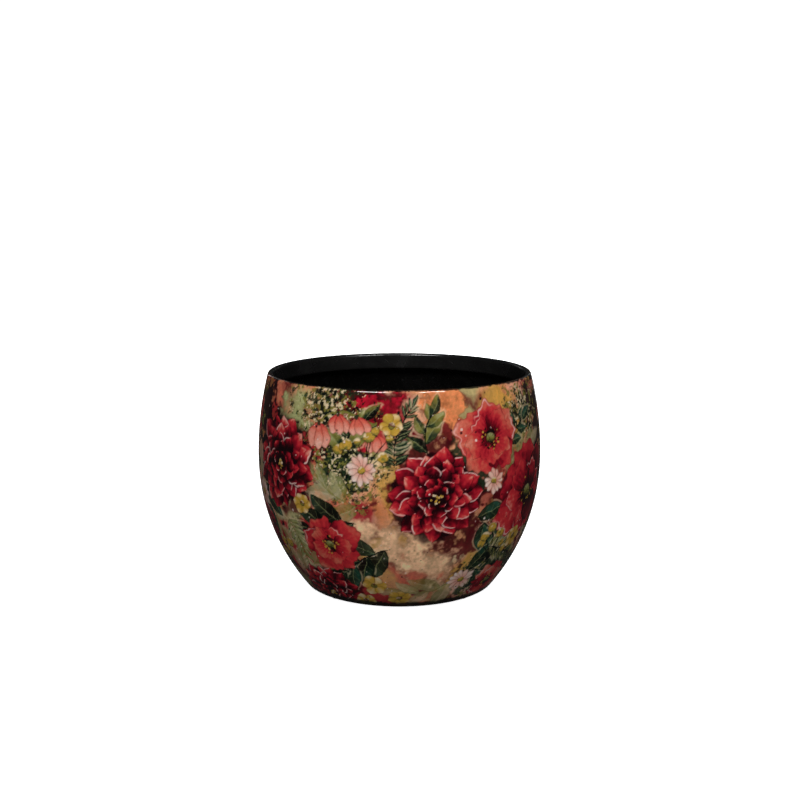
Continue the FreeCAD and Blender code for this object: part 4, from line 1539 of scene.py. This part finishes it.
@dataclass
class Wall:
    """The pot's wall: the painted coat outside, in quarters, over one black steel shell."""

    section: WallSection
    wave: Handwork = field(default_factory=Handwork)
    columns: int = 1152
    shell_columns: int = 320
    straight: int = 8
    print_step: float = 0.5 * MM
    shell_step: float = 1.2 * MM
    first_seed: int = 100

    def coat(self, finish: bpy.types.Material) -> list[bpy.types.Object]:
        """Paints the canvas and cuts it into four quarters.

        Args:
            finish: The printed finish.

        Returns:
            The quarters.
        """
        canvas = Canvas(self.section, self.columns, self.print_step, self.wave)
        for number, motif in enumerate(layout()):
            motif.paint(canvas, np.random.default_rng(number + self.first_seed))
        canvas.colour = np.clip(canvas.colour, 0.0, 1.0)
        pieces = []
        sides = ("right_back", "back_left", "left_front", "front_right")
        quarter = self.columns // len(sides)
        for number, side in enumerate(sides):
            columns = np.arange(number * quarter, (number + 1) * quarter + 1) % self.columns
            pieces.append(self.panel(f"print_coat_{side}", canvas, columns, finish))
        return pieces

    def panel(self, name: str, canvas: Canvas, columns: Array,
              finish: bpy.types.Material) -> bpy.types.Object:
        """One quarter of the coat, with its paint as a colour attribute and its true normals.

        Args:
            name: The piece's name.
            canvas: The painted surface.
            columns: Which of its columns the quarter takes.
            finish: The printed finish.

        Returns:
            The quarter.
        """
        points, normals = canvas.points[:, columns], canvas.normals[:, columns]
        piece = make_object(name, points, grid_faces(len(points), len(columns), False).tolist())
        mesh = piece.data
        rgba = np.concatenate([canvas.colour[:, columns], np.ones(points.shape[:2] + (1,))], axis=-1)
        layer = mesh.color_attributes.new("Paint", "FLOAT_COLOR", "POINT")
        layer.data.foreach_set("color", rgba.astype(np.float32).ravel())
        mesh.normals_split_custom_set_from_vertices(normals.reshape(-1, 3).tolist())
        mesh.materials.append(finish)
        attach(piece, "root")
        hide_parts("print_coat")
        return piece

    def shell(self, finish: bpy.types.Material) -> bpy.types.Object:
        """The steel wall, turned from one closed section.

        It runs up the outside, over the lip and down the collar, round the collar's edge and back
        up, then down the inside and round the tip of the foot flange.

        Args:
            finish: The black finish.

        Returns:
            The wall.
        """
        part, run = self.section, self.straight
        step = self.shell_step
        foot, foot_angle = part.foot
        lip, lip_angle = part.lip
        collar_end = part.crest_level - part.collar_depth
        lean = math.atan2(part.collar_lean, lip[1] - collar_end)
        fine = step / 4
        # The rolled lip's outer and inner face, from the side curve over to the collar.
        front = part.arc(lip, part.lip_radius, lip_angle, math.pi - lean, fine)
        back = part.arc(lip, part.lip_radius - part.sheet, math.pi - lean, lip_angle, fine)
        # The collar leans inwards as it drops, and ends in a half-round edge.
        drop = front[-1][1] - collar_end - part.sheet / 2
        slide = -drop * np.array([math.tan(lean), 1.0])
        edge = part.arc((front[-1] + back[0]) / 2 + slide, part.sheet / 2, math.pi - lean,
                        FULL_TURN - lean, fine)
        inset = part.skin + part.sheet
        # The foot flange ends in a half-round tip.
        flange_end = foot[0] - part.flange
        tip = part.arc(np.array([flange_end, part.underside + part.sheet / 2]), part.sheet / 2,
                       QUARTER, 3 * QUARTER, fine)
        outline = chain(
            part.arc(foot, part.foot_bend, -QUARTER, foot_angle, fine),
            part.arc(part.lower_centre, part.lower_radius - part.skin, foot_angle, 0.0, step),
            part.arc(part.upper_centre, part.upper_radius - part.skin, 0.0, lip_angle, step),
            front, np.linspace(front[-1], edge[0], run), edge,
            np.linspace(edge[-1], back[0], run), back,
            part.arc(part.upper_centre, part.upper_radius - inset, lip_angle, 0.0, step),
            part.arc(part.lower_centre, part.lower_radius - inset, 0.0, foot_angle, step),
            part.arc(foot, part.foot_bend - part.sheet, foot_angle, -QUARTER, fine),
            np.linspace((foot[0], part.underside + part.sheet), tip[0], run), tip,
            np.linspace(tip[-1], (foot[0], part.underside), run)[:-1])
        piece = lathe("pot_shell_lacquered", outline, self.shell_columns, self.wave)
        piece.data.materials.append(finish)
        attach(piece, "root")
        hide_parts("pot_shell")
        return piece


@dataclass
class Base:
    """What closes and carries the pot: the pressed pan and the felt pads under the flange."""

    section: WallSection
    columns: int = 256
    pan: float = 0.8 * MM
    pan_bend: float = 3.0 * MM
    pan_clearance: float = 0.15 * MM
    skirt_height: float = 6.0 * MM
    panel_radius: float = 41.0 * MM
    panel_rise: float = 1.5 * MM
    step_width: float = 2.0 * MM
    step: float = 1.0 * MM
    pad_columns: int = 96
    pad_rings: int = 13
    pad_edge: float = 0.3
    fray: float = 0.12 * MM
    fray_width: float = 0.9 * MM

    def pressed_pan(self, finish: bpy.types.Material) -> bpy.types.Object:
        """The pan: skirt, floor and raised panel, turned with the step as an eased slope.

        Args:
            finish: The black finish.

        Returns:
            The pan.
        """
        part = self.section
        floor = part.underside + part.sheet
        radius = part.lower_radius - part.skin - part.sheet - self.pan_clearance
        bend, bend_angle = part.nest(part.lower_centre, radius - self.pan_bend,
                                     floor + self.pan_bend)
        skirt_angle = part.nest(part.lower_centre, radius, floor + self.skirt_height)[1]
        fine = self.step / 5
        panel, slope = self.panel_radius, self.step_width
        # Points across the underside: coarse over the panel, fine at its step, coarse to the bend.
        across = np.concatenate([np.linspace(0.0, panel - 2 * slope, 30),
                                 np.linspace(panel - slope, panel + 2 * slope, 40),
                                 np.linspace(panel + 3 * slope, bend[0], 12)])
        rise = 1.0 - smooth(across, panel - 0.1 * slope, panel + 1.1 * slope)
        under = np.stack([across, floor + self.panel_rise * rise], axis=-1)
        over = (under + np.array([0.0, self.pan]))[::-1]
        middle = radius - self.pan / 2
        edge_at = part.lower_centre + np.array(polar(middle, skirt_angle))
        edge = part.arc(edge_at, self.pan / 2, skirt_angle, skirt_angle + math.pi, fine)
        outline = chain(
            under, part.arc(bend, self.pan_bend, -QUARTER, bend_angle, fine),
            part.arc(part.lower_centre, radius, bend_angle, skirt_angle - self.pan / 2 / radius,
                     self.step / 2),
            edge,
            part.arc(part.lower_centre, radius - self.pan, skirt_angle, bend_angle, self.step / 2),
            part.arc(bend, self.pan_bend - self.pan, bend_angle, -QUARTER, fine), over)
        piece = lathe("base_pan_pressed", outline, self.columns, poles=True)
        piece.data.materials.append(finish)
        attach(piece, "root")
        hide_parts("base_pan")
        return piece

    def felt_pads(self, finish: bpy.types.Material) -> list[bpy.types.Object]:
        """The four pads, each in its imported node's place: flat discs with a soft, uneven rim.

        Args:
            finish: The felt.

        Returns:
            The pads.
        """
        pads = []
        for corner in ("back_right", "back_left", "front_left", "front_right"):
            low, high = (np.array(end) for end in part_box(f"foot_pad_{corner}"))
            radius, thick = (high[0] - low[0]) / 2, high[2] - low[2]
            centre = (low + high) / 2
            soft = thick * self.pad_edge
            side = WallSection.arc(np.array([radius - soft, soft]), soft, -QUARTER, 0.0, soft / 4)
            top = WallSection.arc(np.array([radius - soft / 2, thick - soft / 2]), soft / 2, 0.0,
                                  QUARTER, soft / 6)
            inner = np.linspace(0.0, radius - soft, self.pad_rings + 1)[:-1]
            outline = np.concatenate([
                np.stack([inner, np.zeros_like(inner)], axis=-1), side, top,
                np.stack([inner[::-1], np.full_like(inner, thick)], axis=-1)])
            piece = lathe(f"felt_pad_{corner}", outline, self.pad_columns, poles=True)
            # The rim, which is the outer fifth, is frayed towards the pad's middle.
            points = np.array([vertex.co for vertex in piece.data.vertices])
            fray = noise(points + centre, self.fray_width, Seed.FRAY, 2) * self.fray
            away = np.linalg.norm(points[:, :2], axis=1, keepdims=True)
            points[:, :2] *= 1.0 - np.where(away > radius * 0.8, fray[:, None] / away.clip(1e-6), 0.0)
            points += np.array([centre[0], centre[1], low[2]])
            piece.data.vertices.foreach_set("co", points.ravel())
            piece.data.update()
            piece.data.materials.append(finish)
            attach(piece, "root")
            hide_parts(f"foot_pad_{corner}")
            pads.append(piece)
        return pads


@dataclass
class Studio:
    """Plain pale floor and backdrop, soft lights, and the camera at the photograph's angle."""

    camera_distance: float = 0.7582
    camera_level: float = 0.2478
    camera_side: float = 0.0004
    camera_pitch: float = 9.72
    lens: float = 54.34
    paper_flat: float = 1.6
    paper_bend: float = 0.9
    paper_top: float = 3.2
    paper_columns: int = 96
    aim: tuple[float, float, float] = (0.0, 0.0, 0.08)

    def floor(self, finish: bpy.types.Material) -> bpy.types.Object:
        """A round sheet that curves up into a wall on every side of the pot.

        The pot doesn't mirror it, as if black flags stood round it outside the picture.

        Args:
            finish: The paper.

        Returns:
            The sheet.
        """
        reach, bend, columns = self.paper_flat, self.paper_bend, self.paper_columns
        curve = WallSection.arc(np.array([reach, bend]), bend, 0.0, -QUARTER, 0.06)
        outline = np.concatenate([[[reach + bend, self.paper_top]], curve, [[reach / 4, 0.0]]])
        rings = revolve(outline, columns)
        faces = grid_faces(len(outline), columns, True).tolist()
        faces += fan(np.arange(columns) + columns * (len(outline) - 1), rings.size // 3)
        points = np.concatenate([rings.reshape(-1, 3), np.zeros((1, 3))])
        piece = make_object("studio_sweep", points, faces)
        piece.data.materials.append(finish)
        piece.visible_glossy = False
        piece.visible_diffuse = False
        return piece

    def camera(self) -> bpy.types.Object:
        """The camera, level across and pitched down.

        Returns:
            The camera, as the scene's own.
        """
        data = bpy.data.cameras.new("camera")
        data.lens = self.lens
        data.sensor_width = 36.0
        data.sensor_fit = "HORIZONTAL"
        data.clip_start = 0.01
        view = bpy.data.objects.new("camera", data)
        view.location = (self.camera_side, -self.camera_distance, self.camera_level)
        view.rotation_euler = (QUARTER - math.radians(self.camera_pitch), 0.0, 0.0)
        bpy.context.scene.collection.objects.link(view)
        bpy.context.scene.camera = view
        return view

    def light(self, name: str, place: tuple[float, float, float], size: tuple[float, float],
              power: float, mirrored: bool = True, lights: bool = True) -> bpy.types.Object:
        """A rectangular softbox aimed at the pot's middle.

        Args:
            name: The light's name.
            place: Where it hangs.
            size: Its width and height.
            power: Its power in watts.
            mirrored: Whether shiny surfaces show it.
            lights: Whether it lights what it shines on, besides being mirrored.

        Returns:
            The light.
        """
        data = bpy.data.lights.new(name, "AREA")
        data.shape = "RECTANGLE"
        data.size, data.size_y = size
        data.energy = power
        lamp = bpy.data.objects.new(name, data)
        lamp.location = place
        beam = np.array(self.aim) - np.array(place)
        flat = math.hypot(beam[0], beam[1])
        lamp.rotation_euler = (math.atan2(flat, -beam[2]), 0.0,
                               math.atan2(beam[1], beam[0]) - QUARTER)
        lamp.visible_camera = False
        lamp.visible_glossy = mirrored
        lamp.visible_diffuse = lights
        bpy.context.scene.collection.objects.link(lamp)
        return lamp

    def world(self, level: float) -> None:
        """A dim even surround.

        Args:
            level: Its strength.
        """
        world = bpy.data.worlds.new("surround")
        world.use_nodes = True
        shade = world.node_tree.nodes["Background"]
        shade.inputs["Color"].default_value = (1.0, 1.0, 1.0, 1.0)
        shade.inputs["Strength"].default_value = level
        bpy.context.scene.world = world

    def build(self) -> None:
        """Sets the whole studio."""
        self.floor(StudioPaper("studio_paper").build())
        self.camera()
        self.light("left_key", place=(-0.40, -0.92, 1.02), size=(0.58, 0.28), power=7.0)
        self.light("right_key", place=(0.56, -0.90, 1.02), size=(0.48, 0.28), power=7.0)
        self.light("front_fill", place=(0.0, -1.30, 0.22), size=(0.6, 0.5), power=3.2,
                   mirrored=False)
        self.light("left_glint", place=(-0.43, -0.92, 1.02), size=(0.54, 0.20), power=8.5,
                   lights=False)
        self.light("right_glint", place=(0.58, -0.90, 1.02), size=(0.44, 0.20), power=6.0,
                   lights=False)
        self.light("back_fill", place=(0.0, 1.30, 0.55), size=(1.0, 0.5), power=16.0,
                   mirrored=False)
        self.light("left_strip", place=(-0.50, 0.95, 0.42), size=(0.035, 0.6), power=0.14)
        self.light("right_strip", place=(0.42, 1.05, 0.30), size=(0.02, 0.7), power=0.06)
        self.world(level=0.02)
        bpy.context.scene.view_settings.view_transform = "Standard"


def read_section() -> WallSection:
    """The wall's section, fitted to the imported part's own boxes.

    Returns:
        The section.
    """
    coat_low, coat_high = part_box("print_coat")
    shell_low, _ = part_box("pot_shell")
    return WallSection(belly_radius=float(coat_high.x), crest_level=float(coat_high.z),
                       underside=float(shell_low.z))


def corners(box: Sequence[Iterable[float]]) -> list[list[float]]:
    """A box as plain lists of numbers."""
    return [[float(value) for value in corner] for corner in box]


def main() -> None:
    """Builds the pot's sub-assemblies in order, dresses them and sets the studio."""
    logging.basicConfig(level=logging.INFO, format="%(name)s: %(message)s")
    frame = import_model()
    section = read_section()
    skin = lacquer_group()
    # The third argument is the collar's lower edge, where the painted light on the lip and collar
    # starts.
    black = BlackLacquer("black_lacquer", skin, section.crest_level - section.collar_depth).build()
    printed = PrintedLacquer("printed_lacquer", skin).build()

    wall, base = Wall(section), Base(section)
    for piece in (*wall.coat(printed), wall.shell(black), base.pressed_pan(black),
                  *base.felt_pads(Felt("felt").build())):
        LOG.info("%s: %d faces", piece.name, len(piece.data.polygons))
    for node, finish in (("rim_wire", ZincWire("zinc_wire")), ("seam_seal", Sealant("sealant"))):
        mesh = frame["nodes"][node].data
        mesh.materials.clear()
        mesh.materials.append(finish.build())
        LOG.info("%s: packed piece with its own finish", node)

    Studio().build()


if __name__ == "__main__":
    main()
